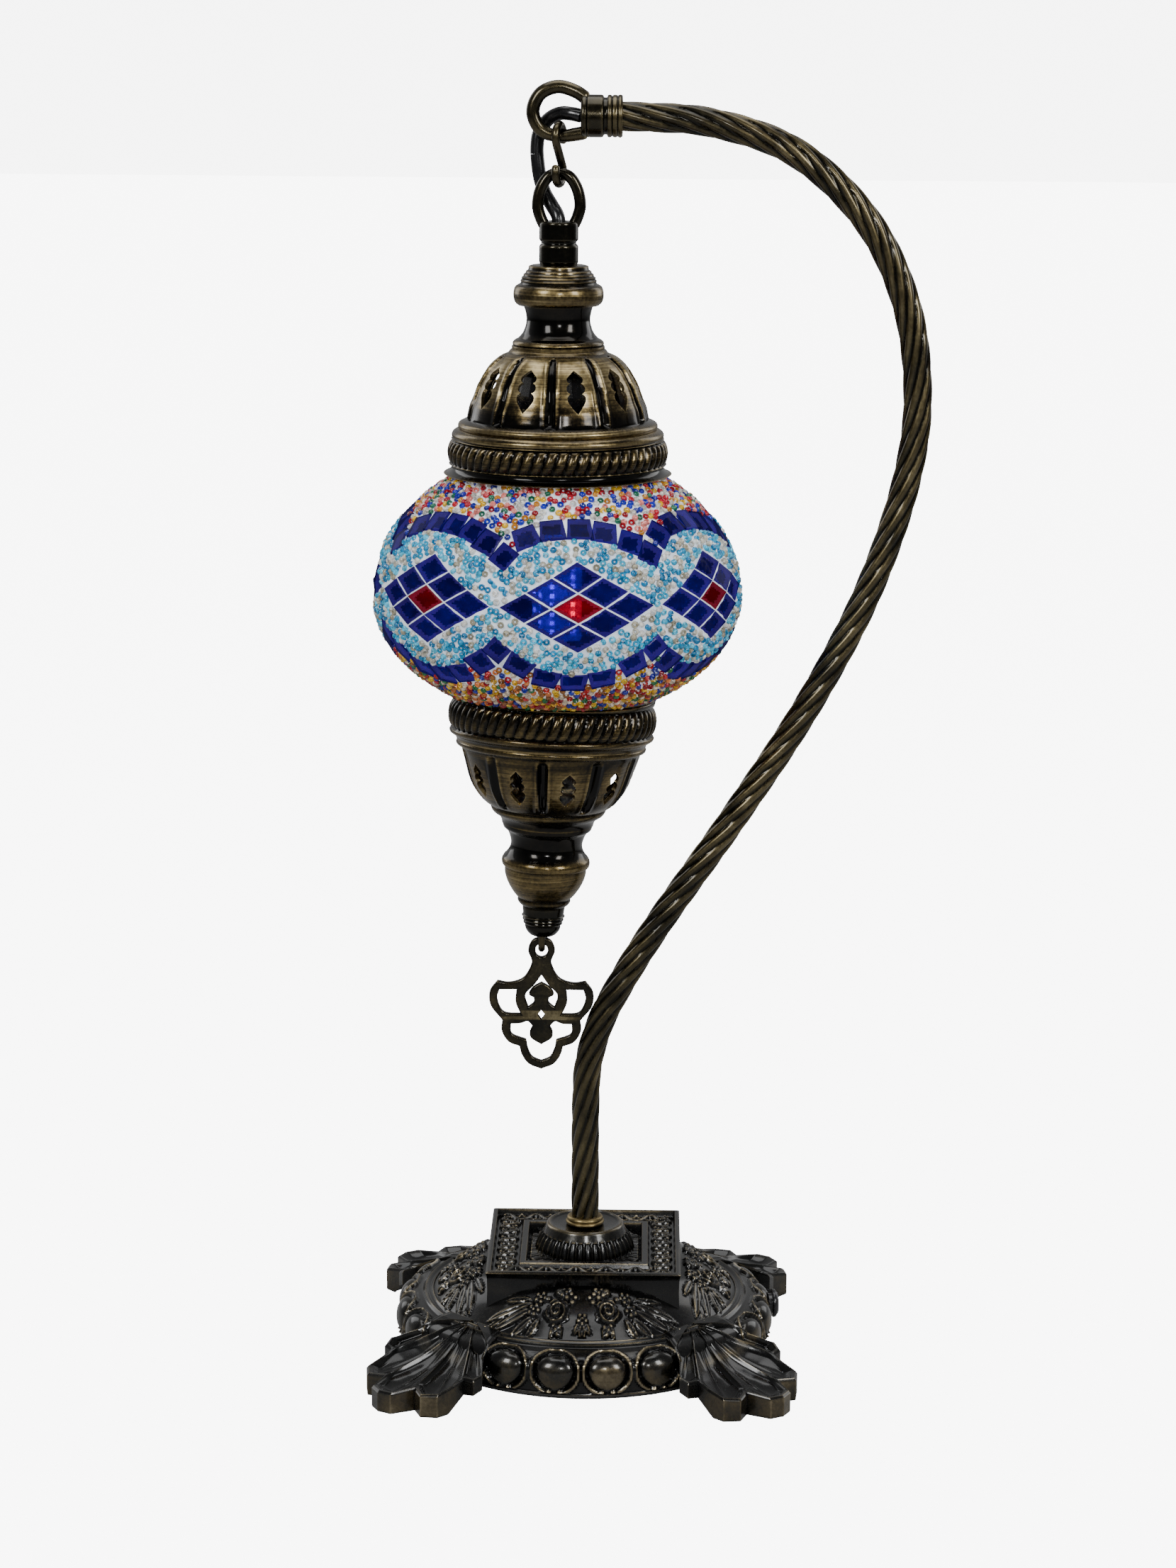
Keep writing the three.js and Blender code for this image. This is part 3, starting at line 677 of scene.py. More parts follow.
def store_tint(mesh, colours):
    layer = mesh.color_attributes.new("tint", "FLOAT_COLOR", "POINT")
    opaque = np.concatenate([colours, np.ones((len(colours), 1))], 1)
    layer.data.foreach_set("color", opaque.astype(np.float32).ravel())


def by_height(table):
    """A tone that follows the height, from a table of [height, tone] that falls from the top."""
    heights, tones = np.array(table[::-1], float).T

    def tone(points, normals):
        return np.interp(points[:, 2], heights, tones)
    return tone


# ---------------------------------------------------------------- base
# Angles in degrees and sizes in millimetres, with heights measured along the band from its foot.
EGG_ANGLES = [quarter + place for quarter in (0, 90, 180, 270) for place in (-24, -8, 8, 24)]
BAND_RADIUS = 62
EGG_MIDDLE = 6.4
EGG_HALF_HEIGHT = 5.9
LOOP_MIDDLE = 6.9
LOOP_HALF_WIDTH = 7.9
LOOP_HALF_HEIGHT = 7.3
BALL_RADIUS = 1.25


def crown(*squares):
    """Height of a rounded lump: 1 in its middle, and 0 from where the squares add up to 1."""
    left = 1
    for square in squares:
        left = left - square
    return np.sqrt(np.clip(left, 0, 1))


def egg_relief(angle, height_along):
    """Eggs inside raised horseshoe loops on the band, with two balls at the foot of each loop."""
    relief = np.zeros(np.broadcast(angle, height_along).shape)
    for place in EGG_ANGLES:
        across = np.radians((angle - place + 180) % 360 - 180) * BAND_RADIUS
        up = height_along - EGG_MIDDLE
        egg = crown((across / (6.3 + 0.2 * up)) ** 2, (up / EGG_HALF_HEIGHT) ** 2)
        relief = np.maximum(relief, 2.35 * egg)
        rise = (height_along - LOOP_MIDDLE) / LOOP_HALF_HEIGHT
        offset = (np.sqrt((across / LOOP_HALF_WIDTH) ** 2 + rise ** 2) - 1) * 7.6
        opening = smooth_step(1.4, 2.6, np.abs(across) + np.clip(height_along - 4, 0, 9))
        relief = np.maximum(relief, 1.35 * (crown((offset / 0.85) ** 2) * opening))
        for ball in (-1.75, 1.75):
            bead = crown(((across - ball) / BALL_RADIUS) ** 2, ((height_along - 0.3) / BALL_RADIUS) ** 2)
            relief = np.maximum(relief, 1.9 * bead)
    return relief


def leaf_relief(x, y, start, end, width, height):
    """A pointed leaf with a sunken midrib, from start to end."""
    run = np.array(end, float) - np.array(start, float)
    length = float(np.linalg.norm(run))
    run /= length
    along = ((x - start[0]) * run[0] + (y - start[1]) * run[1]) / length
    across = -(x - start[0]) * run[1] + (y - start[1]) * run[0]
    half = width * np.sin(np.pi * np.clip(along, 0, 1)) ** 0.75 + 1e-6
    inside = (along > 0) & (along < 1) & (np.abs(across) < half)
    rib = 1 - 0.45 * np.exp(-(across / 0.35) ** 2)
    return np.where(inside, height * crown((across / half) ** 2) * rib, 0)


def knob_relief(x, y, centre, radius, height):
    return height * crown(((x - centre[0]) ** 2 + (y - centre[1]) ** 2) / radius ** 2)


def rose_relief(x, y, centre, radius, height):
    """Petals that wind round a raised heart."""
    away_x, away_y = x - centre[0], y - centre[1]
    reach = np.hypot(away_x, away_y) / radius
    turn = np.arctan2(away_y, away_x)
    edge = 1 + 0.1 * np.cos(5 * turn)
    petals = 0.32 * np.cos(2 * np.pi * 2.3 * reach + turn) * (reach < edge)
    return np.where(reach < edge, height * crown((reach / edge) ** 3) * (0.72 + petals), 0)


def blossom_relief(x, y, centre, radius, height, petals=5):
    """A small open flower: round petals and a round heart."""
    relief = knob_relief(x, y, centre, radius * 0.36, height * 1.1)
    for i in range(petals):
        turn = 2 * np.pi * (i + 0.25) / petals
        middle = (centre[0] + 0.62 * radius * np.cos(turn), centre[1] + 0.62 * radius * np.sin(turn))
        relief = np.maximum(relief, knob_relief(x, y, middle, radius * 0.4, height))
    return relief


GARLAND = [
    (rose_relief, (8.3, 9.2), 4.0, 1.9),
    (blossom_relief, (5.2, 3.3), 2.6, 1.4),
    (knob_relief, (7.6, 2.6), 1.7, 1.7),
    (blossom_relief, (13.6, 3.8), 2.4, 1.4),
    (blossom_relief, (15.8, 7.4), 2.3, 1.3),
    (knob_relief, (11.2, 4.6), 1.1, 1.2),
    (knob_relief, (3.4, 6.6), 1.0, 1.1),
    (knob_relief, (2.3, 4.9), 0.9, 1.0),
    (blossom_relief, (8.6, 14.6), 2.3, 1.3, 4),
    (leaf_relief, (8.4, 12.2), (6.6, 17), 1.1, 1.1),
    (leaf_relief, (8.4, 12.2), (10.6, 17), 1.1, 1.1),
    (blossom_relief, (0, 12.2), 2.1, 1.4),
    (leaf_relief, (0.4, 12.6), (2.7, 16.6), 1.1, 1.2),
    (leaf_relief, (-0.8, 12.8), (0.9, 17.4), 1.2, 1.3),
    (leaf_relief, (16, 5), (31.5, 5.2), 1.6, 1.1),
    (leaf_relief, (16, 6.8), (29.5, 9.3), 1.6, 1.1),
    (leaf_relief, (16.5, 3.6), (25.5, 1.2), 1.3, 1.0),
    (leaf_relief, (16, 9.2), (23.6, 13.6), 1.7, 1.1),
    (leaf_relief, (14, 10.2), (18.4, 15.6), 1.5, 1.1),
    (leaf_relief, (24, 6), (33, 8), 0.9, 0.9),
]


def garland_relief(angle, radius):
    """The spray of roses, buds and leaves on each side of the dome, from the plinth to the double ridge."""
    side = np.radians((angle + 45) % 90 - 45)
    x = np.abs(radius * np.sin(side))
    y = radius * np.cos(side) - PLINTH_HALF
    return np.maximum.reduce([relief(x, y, *sizes) for relief, *sizes in GARLAND])


def base_dome():
    """The ring of the casting: rim, band with its eggs, double ridge and dome with its garlands."""
    foot = outline([
        (56.2, 2.8), (59.6, 2.8), [(60.6, 3.2), (61.2, 4.2)], [(62, 4.8), (61.6, 5.6)],
    ])
    band = outline([
        (61.6, 5.6), [(61.7, 8), (61.7, 10.5), (61.2, 13.5), (59.9, 15.8), (57.6, 17.4), (55, 18)],
    ], 0.42)
    dome = outline([
        (55, 18), [(53, 18.3), (50.8, 18.5)], [(48, 20.9), (43.5, 24.7), (38, 28.4), (34, 30.4),
        (31, 31.4)],
    ], 0.42)
    inside = outline([
        (31, 31.4), (26, 32), (26, 28), [(40, 22), (47, 17.4)], (56.2, 12), (56.2, 2.8),
    ], 3)
    loop = np.vstack([foot[:-1], band[:-1], dome[:-1], inside[:-1]])
    steps = np.gradient(loop, axis=0)
    normal = np.stack([-steps[:, 1], steps[:, 0]], -1)
    normal = -normal / np.linalg.norm(normal, axis=1)[:, None]
    columns = 640
    angle = np.arange(columns) * 360 / columns
    relief = np.zeros((len(loop), columns))
    rows = slice(len(foot) - 1, len(foot) + len(band) - 2)
    along = run_along(band)[:-1]
    fade = smooth_step(14.6, 13.8, along)[:, None]
    relief[rows] = egg_relief(angle[None], along[:, None]) * fade
    first = len(foot) + len(band) - 2
    rows = slice(first, first + len(dome) - 1)
    radius = dome[:-1, :1]
    ridges = 1.0 * np.exp(-((radius - 53.7) / 0.75) ** 2) + 0.8 * np.exp(-((radius - 51.3) / 0.6) ** 2)
    relief[rows] = ridges + garland_relief(angle[None], radius)
    radius = loop[:, :1] + relief * normal[:, :1]
    height = loop[:, 1:] + relief * normal[:, 1:]
    return outward(lattice(around(radius, angle[None], height), wrap_rows=True))


def scroll_relief(along, across, period):
    """A running vine of S curves with a berry in every bend. across runs from -1 to 1 over the border."""
    wave = 2 * np.pi * along / period
    line = 2.7 * np.sin(wave)
    slope = 2.7 * 2 * np.pi / period * np.cos(wave)
    offset = np.abs(across * 4 - line) / np.sqrt(1 + slope ** 2)
    vine = crown((offset / 0.8) ** 2)
    inner = 1.5 * np.sin(wave + np.pi)
    inner_slope = 1.5 * 2 * np.pi / period * np.cos(wave + np.pi)
    tendril = crown(((across * 4 - inner) / np.sqrt(1 + inner_slope ** 2) / 0.4) ** 2)
    relief = np.maximum(1.25 * vine, 0.75 * tendril)
    for shift, side in ((0.25, -1), (0.75, 1)):
        middle = (np.floor(along / period - shift + 0.5) + shift) * period
        berry = crown(((along - middle) / 0.75) ** 2, ((across * 4 - side * 2.1) / 0.75) ** 2)
        relief = np.maximum(relief, 1.3 * berry)
    return relief


def plinth_height(x, y):
    """Height of the plinth's top: rim, vine border, raised frame, and petals in a sunken field."""
    reach = np.maximum(np.abs(x), np.abs(y))
    height = np.full(x.shape, PLINTH_FIELD)
    height = height + (PLINTH_TOP - PLINTH_FIELD) * smooth_step(30.1, 30.6, reach)
    height = height - 0.45 * smooth_step(31.6, 32.2, reach)
    frame_top = smooth_step(FRAME_INSIDE, 19.2, reach) * smooth_step(FRAME_OUTSIDE, 21.4, reach)
    height = height + 1.5 * frame_top - 1.2 * smooth_step(19.2, FRAME_INSIDE, reach)
    on_x_side = np.abs(x) > np.abs(y)
    along = np.where(on_x_side, y, x)
    border = (reach > 21.9) & (reach < 30)
    place = (reach - BORDER_MIDDLE) / BORDER_HALF
    vine = np.where(on_x_side, scroll_relief(along, place, 7.3), scroll_relief(along, place, 9.9))
    height = height + np.where(border, vine, 0)
    radius, turn = np.hypot(x, y), np.arctan2(y, x)
    petal = np.sqrt(np.abs(np.sin(18 * turn)))
    end = 22.2 - 1.6 * (1 - petal)
    petals = 1.1 * petal * smooth_step(end + 0.3, end - 0.8, radius) * smooth_step(18.6, 18.1, reach)
    return height + petals


def base_plinth():
    """The square block, its top worked in relief, with slightly hollow side walls down into the dome."""
    lines = np.linspace(-PLINTH_HALF, PLINTH_HALF, 201)
    x, y = np.meshgrid(lines, lines)
    top = np.stack([x, y, plinth_height(x, y)], -1)
    last = len(lines) - 1
    edge = [(0, i) for i in range(last)] + [(i, last) for i in range(last)]
    edge += [(last, last - i) for i in range(last)] + [(last - i, 0) for i in range(last)]
    border = np.array([row * len(lines) + column for row, column in edge])
    points, faces = lattice(top, wrap_columns=False)
    rim = points[border]
    rings = []
    for level, shrink in ((35.1, 1.0), (34.6, 0.992), (33, 0.985), (29, 0.982), (25, 0.986), (20, 1.0)):
        ring = rim.copy()
        ring[:, :2] *= shrink
        ring[:, 2] = level
        rings.append(ring)
    return skirted(points, faces, border, rings)


def base_boss():
    """The boss that holds the arm: thin ribs round its skirt under a smooth shoulder and a dished top."""
    loop = outline([
        (4.6, 30.5), (4.6, 41.8), [(8, 41.7), (11, 42)], [(12, 42.6), (12.8, 42.2)], [(13.5, 40.6),
        (14.1, 39.3)], [(15, 38.2), (16.3, 35.4), (17.1, 32.5), (17.9, 31)], (17.9, 30.5), (4.6, 30.5),
    ], 0.6)

    def ribs(angle, radius, height):
        turn = (angle + 5) % 10 - 5
        rib = np.exp(-(np.radians(turn) * radius / 0.5) ** 2)
        skirt = smooth_step(39.4, 38.6, height) * (radius > 12.5)
        return 1.1 * skirt * (rib - 1)

    return turned(loop, 432, ribs)


FOOT_OUTLINE = [
    (92.7, 0), (91.3, 4.6), (83.5, 7.5), (86, 13), (82.5, 17.4), (71.5, 18), (70.8, 21.8), (67.8, 22.8),
    (62, 17), (57, 15), (52, 13.6), (50, 13.4),
]


def foot_rays():
    """Angles from the leaf's root and the reach of its outline at each, with every corner on a ray."""
    corners = np.array(FOOT_OUTLINE, float) - (FOOT_ROOT, 0)
    across, up = outline(corners, 0.45).T
    turn = np.degrees(np.arctan2(up, across))
    reach = np.hypot(across, up)
    return np.concatenate([-turn[:0:-1], turn]), np.concatenate([reach[:0:-1], reach])


def lobe_place(turn):
    """How far a direction is from the middle of its lobe: 0 in the middle, 1 on the notch line."""
    away = np.abs(turn)
    places = [away / 12.6, np.abs(away - 25) / 13.7]
    return np.select([away < 12.6, away < 39.9], places, np.abs(away - 50) / 12)


def base_foot(angle):
    """A leaf foot: hollow lobes with raised edges, veins that gather at the root, and upright end faces."""
    turn, rim = foot_rays()
    share = np.concatenate([np.linspace(0.1, 0.9, 34), [0.925, 0.95, 0.965, 0.98, 0.99, 1.0]])
    reach = share[:, None] * rim[None]
    u = FOOT_ROOT + reach * np.cos(np.radians(turn))[None]
    v = reach * np.sin(np.radians(turn))[None]
    fall_u = [45, 54, 58, 61, 66, 71, 76, 82, 90, 94]
    fall_z = [19.6, 18.6, 17, 15.2, 12.6, 10.6, 9, 7.7, 6.9, 6.8]
    top = np.interp(u, fall_u, fall_z)
    place = np.clip(lobe_place(turn), 0, 1)[None]
    hollow = smooth_step(0.12, 0.5, share)[:, None] * smooth_step(0.985, 0.86, share)[:, None]
    ridge = 0.8 * np.exp(-((1 - place) / 0.13) ** 2) * smooth_step(1.0, 0.8, share)[:, None]
    vein = 0.45 * np.exp(-(place / 0.09) ** 2) * smooth_step(0.97, 0.6, share)[:, None]
    top = top - 2.0 * hollow * (1 - place ** 2) + ridge + vein
    top = top + 0.35 * smooth_step(0.86, 0.96, share)[:, None]
    top = top - 0.75 * smooth_step(0.975, 1.0, share)[:, None]
    grid = np.stack([u, v, top], -1)
    points, faces = lattice(grid, wrap_columns=False)
    rows, columns = grid.shape[:2]
    index = np.arange(rows * columns).reshape(rows, columns)
    border = np.concatenate([index[0, :-1], index[:-1, -1], index[-1, :0:-1], index[:0:-1, 0]])
    centre = np.array([FOOT_ROOT + 14, 0])
    rings = []
    for level in (0.93, 0.5, 0.07, 0.0):
        ring = points[border].copy()
        under = np.interp(ring[:, 0], [56, 64, 71, 76, 78], [12.5, 9, 5.5, 1.5, 0])
        ring[:, 2] = under + (ring[:, 2] - under) * level
        ring[:, :2] = centre + (ring[:, :2] - centre) * (1 - 0.006 * (level == 0.0))
        rings.append(ring)
    return spun(skirted(points, faces, border, rings), angle)


def casting_tone(points, normals):
    """Casting tone: the upright faces of the feet and plinth are lighter and warmer, the rest is nearly
    black.
    """
    reach = np.hypot(points[:, 0], points[:, 1])
    upright = 1 - np.abs(normals[:, 2])
    foot_ends = smooth_step(70, 80, reach) * smooth_step(0.6, 0.95, upright)
    egg_tops = smooth_step(62.4, 63.6, reach) * smooth_step(67, 65.6, reach)
    wall = smooth_step(0.8, 0.98, upright) * smooth_step(18, 24, points[:, 2]) * (reach > 31)
    boss = smooth_step(38.5, 41, points[:, 2]) * 0.14
    return 0.3 + 0.4 * foot_ends + 0.3 * egg_tops + 0.14 * wall + boss


def build_base(finish):
    parts = [("dome", base_dome(), 2.4), ("plinth", base_plinth(), 2.6), ("boss", base_boss(), 1.8)]
    for i in range(4):
        parts.append((f"foot_{i + 1}", base_foot(45 + 90 * i), 2.2))
    for part, shape, gain in parts:
        replaced = ["base_casting"] if part == "dome" else []
        add_piece(f"base_casting_{part}", shape, finish["casting"], "base", replaced, casting_tone, gain, 1)
    pad = outline([(0.4, 0), (51.6, 0), [(52.8, 0.4), (53, 1.2), (52.5, 1.9)], (0.4, 2), (0.4, 0)], 1.5)

    def fuzz(angle, radius, height):
        return 0.12 * np.sin(angle * 3.1) * np.sin(angle * 0.73 + 1) * (radius > 50)

    add_piece("felt_disc", turned(pad, 180, fuzz), finish["felt"], "base", ["felt_pad"], sharp=60)
    gland = outline([
        (2.4, 56), (3.4, 56), (3.4, 64.4), (4.4, 64.4), [(4.8, 64.6), (4.8, 65.2), (4.5, 65.7)],
        [(3.9, 66), (3.6, 66.35)], [(2.9, 66.4), (2.5, 66.1)], (2.4, 65), (2.4, 56),
    ], 0.4)
    bushing = moved(spun(laid_along_x(turned(gland, 48)), GLAND_ANGLE), (0, 0, GLAND_HEIGHT))
    add_piece("cord_bushing", bushing, finish["plastic"], "base", ["cord_gland"])


# ---------------------------------------------------------------- arm and links
ARM_ROUTE = [
    (0, 19), (0, 55), (0, 84), (0.8, 98), (4.9, 112.9), (12.3, 127.7), (24.1, 147.3), (48.5, 183.7),
    (72.3, 222), (90.9, 259.8), (102.4, 297), (104.9, 322), (100.6, 351.4), (87.4, 378), (63.6, 399.5),
    (36.7, 408.3), (18, 409.7), (5.3, ARM_TOP),
]
LINK_ROUTE = [
    (-3.7, 0, ARM_TOP), (-6.8, 1, 410.6), (-10.4, 3.2, 410.6), (-14.2, 4.9, 408.6), (-17, 5, 404.5),
    (-17.7, 4.8, 400), (-17.4, 4.6, 395), (-16.6, 4.6, 390), (-15.1, 4.4, 385.5), (-12.8, 2.6, 381.8),
    (-10.8, 0.3, 378.4), (PENDANT_X, 0, 374.5), (PENDANT_X, 0, 350), (PENDANT_X, 0, 326),
]
TWIST_LENGTH = 86
FLUTES = 8
SPLIT_Z = 398


def twisted_arm():
    """The rope tube: eight round flutes with sharp valleys that wind along the arm."""
    path = spline([(x, 0, z) for x, z in ARM_ROUTE], 1.35)
    along = run_along(path)
    sides = 72
    turn = np.arange(sides)[None] * 2 * math.pi / sides - along[:, None] * 2 * math.pi / TWIST_LENGTH
    radius = ARM_RADIUS - 0.95 * (1 - np.abs(np.cos(FLUTES / 2 * turn)) ** 0.8)
    ease = smooth_step(0, 3, along)[:, None]
    return swept(path, radius * (0.96 + 0.04 * ease), sides)


def worn_eye(marks, wire, bearing, side, sides):
    """A wire eye in the XZ plane, worn thin where the hook bears on its upper (1) or lower (-1) side."""
    path = spline([(x, 0, z) for x, z in marks], 0.6)
    near = np.exp(-((path[:, 0] - bearing[0]) / LINK_WEAR_WIDTH) ** 2)
    worn = LINK_WEAR * near * (side * (path[:, 2] - bearing[1]) > 0)
    return swept(path, rounded_ends(path, wire, 1.2) - worn, sides)


def build_arm(finish):
    add_piece("twisted_arm", twisted_arm(), finish["arm"], "base", ["swan_neck_arm"], 0.52, 2.6, 1)
    collar = outline([
        (4.35, 42), (5.9, 42), [(6.4, 42.4), (6.4, 43), (5.9, 43.4)], [(6.1, 43.8), (5.9, 44.4)],
        [(5.4, 44.8), (4.35, 44.9)], (4.35, 42),
    ], 0.25)
    add_piece("collar_ring", turned(collar, 96), finish["brass"], "base", ["arm_collar_ring"], 0.6)
    sleeve = outline([
        (2.9, -3.7), (5.7, -3.7), [(6.3, -3.5), (6.6, -3)], [(6.65, -2.2), (6.35, -1.9)], (6.7, -1.5),
        (6.7, 2.7), [(6.5, 3.3), (5.9, 3.6)], [(5.8, 4.15), (5.9, 4.6)], [(6.5, 4.8), (6.7, 5.4),
        (6.5, 6)], [(6.25, 6.25), (6.55, 6.5)], [(6.7, 7.2), (6.5, 7.8)], [(6.35, 8), (6.6, 8.2)],
        [(6.75, 8.8), (6.4, 9.5)], (4.6, 9.6), (4.6, 5), (2.9, 5), (2.9, -3.7),
    ], 0.3)
    marks = [
        (-1.5, 5), (-5.5, 7.6), (-11.2, 9), (-16.6, 6.7), (-18.9, 1.3), (-16.6, -4.1), (-11.2, -6.4),
        (-5.5, -5.8), (-1.5, -5),
    ]
    eye = worn_eye(marks, ARM_LOOP_WIRE, (PENDANT_X, 0), -1, 28)
    cap = moved(merged([laid_along_x(turned(sleeve, 112)), eye]), (0, 0, ARM_TOP))
    add_piece("arm_end_loop", cap, finish["links"], "base", ["arm_loop_cap"], 0.5, 2.2)


def build_cable(finish):
    """The cable: hidden in base and arm, then in two pieces past both links into the pendant."""
    slope = math.tan(math.radians(GLAND_ANGLE))
    entry = [(57, 10.9), (46, 10), (34, 8.9), (22, 8.5), (12, 8.8), (4.6, 11.6), (0.9, 16)]
    hidden = [(x, x * slope, z) for x, z in entry] + [(0, 0, 24)]
    hidden += [(x, 0, z) for x, z in ARM_ROUTE[1:-1]] + [(5.3, 0, ARM_TOP), (-3.6, 0, ARM_TOP)]
    add_piece("cable_in_arm", swept(spline(hidden, 3), CABLE_RADIUS, 16), finish["cable"], "base",
              ["lamp_cable"])
    link = spline(LINK_ROUTE, 0.7)
    split = int(np.argmax((link[:, 2] < SPLIT_Z) & (link[:, 0] < -15)))
    upper = add_piece("link_cable_upper", swept(link[:split + 1], CABLE_RADIUS, 24), finish["cable"],
                      None)
    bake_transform(upper)
    lower = add_piece("link_cable_lower", swept(link[split:], CABLE_RADIUS, 24), finish["cable"], None)
    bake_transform(lower)


def build_hook(finish):
    lean = 90 - math.degrees(math.acos(2 * HOOK_BEND / (ARM_EYE_Z - PENDANT_EYE_Z)))
    bends = [(ARM_EYE_Z, np.linspace(-40, 180 + lean, 24)), (PENDANT_EYE_Z, np.linspace(lean, -220, 24))]
    points = []
    for centre, turns in bends:
        for turn in np.radians(turns):
            out = HOOK_BEND * math.cos(turn)
            points.append((PENDANT_X + out * math.sin(HOOK_YAW), out * math.cos(HOOK_YAW),
                           centre + HOOK_BEND * math.sin(turn)))
    path = spline(points, 0.4)
    shape = swept(path, rounded_ends(path, HOOK_WIRE, 1.0), 20, (1, 0, 0))
    add_piece("hook_wire", shape, finish["links"], "hook", ["s_hook"], 0.42)


def build_pendant_loop(finish):
    sleeve = outline([
        (3, 377), (5.6, 377), [(6.1, 376.7), (6.25, 376.1)], (6.25, 371.3), [(6, 370.9), (5.7, 370.6)],
        [(5.55, 370.2), (5.7, 369.8)], [(6, 369.6), (6.25, 369.1)], (6.25, 364.3), [(6.1, 363.8),
        (5.8, 363.1)], (5.3, 363.1), (5.3, 368.6), (3, 368.6), (3, 377),
    ], 0.3)
    right = [(4.3, 375), (6, 378.6), (6.75, 382.2), (5.7, 387.4), (3.1, 391.2)]
    marks = [*right, (0, PENDANT_EYE_Z), *[(-x, z) for x, z in reversed(right)]]
    shape = merged([turned(sleeve, 112), worn_eye(marks, PENDANT_LOOP_WIRE, (0, 385), 1, 26)])
    add_piece("pendant_top_loop", hung(shape), finish["links"], "pendant", ["pendant_loop_cap"], 0.3, 2.2)


# ---------------------------------------------------------------- pendant metalwork
TONES = by_height([
    (364, 0.45), (361, 0.5), (357, 0.4), (355.5, 0.62), (352, 0.62), (350.6, 0.4), (350, 0.1),
    (347, 0.02), (342, 0.03), (340, 0.3), (338.4, 0.55), (336, 0.5), (333, 0.66), (326, 0.76),
    (319, 0.66), (315, 0.2), (313, 0.35), (311.5, 0.7), (310, 0.3), (308.8, 0.65), (307.5, 0.35),
    (304, 0.42), (300, 0.2), (299, 0.1), (297.8, 0.15), (297.2, 0.3), (296.7, 0.55), (228, 0.55),
    (225, 0.5), (222.5, 0.15), (218, 0.3), (213, 0.38), (212.3, 0.3), (211, 0.62), (209, 0.4),
    (207.4, 0.5), (205, 0.3), (200, 0.62), (192, 0.62), (188, 0.35), (185.5, 0.5), (183, 0.3),
    (180, 0.12), (175, 0.02), (170.5, 0.08), (169, 0.5), (167, 0.7), (163, 0.66), (157, 0.6), (154, 0.35),
    (151, 0.25), (147, 0.22), (142, 0.12),
])
PANELS = 10
PANEL_ANGLE = 360 / PANELS
HALF_PANEL = PANEL_ANGLE / 2
HOLE_ANGLE = 14.3
HOLE_LOBES = [
    (0, 7.2), [(1.5, 5.6), (2.5, 4.4), (2.3, 3.3), (1.7, 2.8)], [(2.6, 2.0), (2.9, 0.9), (2.5, -0.1),
    (1.8, -0.6)], [(2.7, -1.5), (2.8, -2.8), (1.6, -5), (0, -7.2)],
]


def panel_swell(low, high, round_end):
    """Puffed panels with U grooves between them, from low to high. The grooves end rounded at round_end."""
    def swell(angle, radius, height):
        away = np.abs((angle - HOLE_ANGLE) % PANEL_ANGLE - HALF_PANEL)
        across = np.radians(away) * radius
        run = smooth_step(low - 0.6, low + 0.6, height) * smooth_step(high + 0.6, high - 0.6, height)
        taper = np.clip(np.abs(height - round_end) / 3, 0.25, 1) ** 0.5
        groove = -1.35 * smooth_step(1.5, 0.75, across / taper)
        lip = 0.45 * np.exp(-((across - 2.0) / 0.5) ** 2)
        puff = 0.55 * (1 - (away / HALF_PANEL - 1) ** 2)
        return run * (groove + lip + puff - 0.3)
    return swell


def panel_tone(table, axis_x, low, high):
    """Tone of a panelled dome: black grooves, and panels that are brightest round their holes."""
    plain = by_height(table)

    def tone(points, normals):
        angle = np.degrees(np.arctan2(points[:, 0] - axis_x, -points[:, 1]))
        away = np.abs((angle - HOLE_ANGLE) % PANEL_ANGLE - HALF_PANEL)
        run = smooth_step(low - 1, low + 1, points[:, 2]) * smooth_step(high + 1, high - 1, points[:, 2])
        groove = smooth_step(3.8, 2.4, away)
        return plain(points, normals) + run * (0.26 * away / HALF_PANEL - 0.16 - 0.8 * groove)
    return tone


UPPER_PANELS = [
    (337, 0.55), (334, 0.72), (330, 0.82), (324, 0.78), (319, 0.46), (316, 0.16), (314.4, 0.12),
    (313.4, 0.5), (312, 0.6), (311, 0.3),
]
LOWER_PANELS = [
    (209, 0.4), (207.4, 0.55), (206, 0.3), (203, 0.56), (198, 0.72), (192, 0.62), (189, 0.3),
    (186.8, 0.45), (185.5, 0.35), (183, 0.25), (180, 0.1),
]


def hole_cutters(radius, height, tilt, size, reach=5):
    """Prisms with the three-lobed outline, one for each panel, square to the dome's tilt at that height."""
    right = outline(HOLE_LOBES, 0.6) * size
    left = right[-2:0:-1] * (-1, 1)
    ring = np.vstack([right, left])
    cutters = []
    for i in range(PANELS):
        angle = HOLE_ANGLE + PANEL_ANGLE * i
        out = around(math.cos(tilt), angle, math.sin(tilt))
        up = around(-math.sin(tilt), angle, math.cos(tilt))
        side = around(1, angle + 90, 0)
        middle = around(radius, angle, height)
        flat = middle + ring[:, :1] * side + ring[:, 1:] * up
        points = np.vstack([flat - reach * out, flat + reach * out])
        count = len(ring)
        near = np.arange(count)
        wall = np.stack([near, np.roll(near, -1), np.roll(near, -1) + count, near + count], -1)
        cutters.append(outward((points, [wall, near[None, ::-1], near[None] + count])))
    return cutters


def gadroon_swell(count, low, high, depth, slant):
    """A row of leaning rounded beads between two heights."""
    middle = (low + high) / 2
    half = (high - low) / 2

    def swell(angle, radius, height):
        turn = np.radians(angle) * count / 2 - (height - middle) * slant
        bead = np.abs(np.sin(turn)) ** 0.7
        end = np.sqrt(np.clip(1 - ((height - middle) / half) ** 4, 0, 1))
        row = (np.abs(height - middle) < half) & (radius > 31)
        return np.where(row, depth * (bead * end - 1), 0)
    return swell


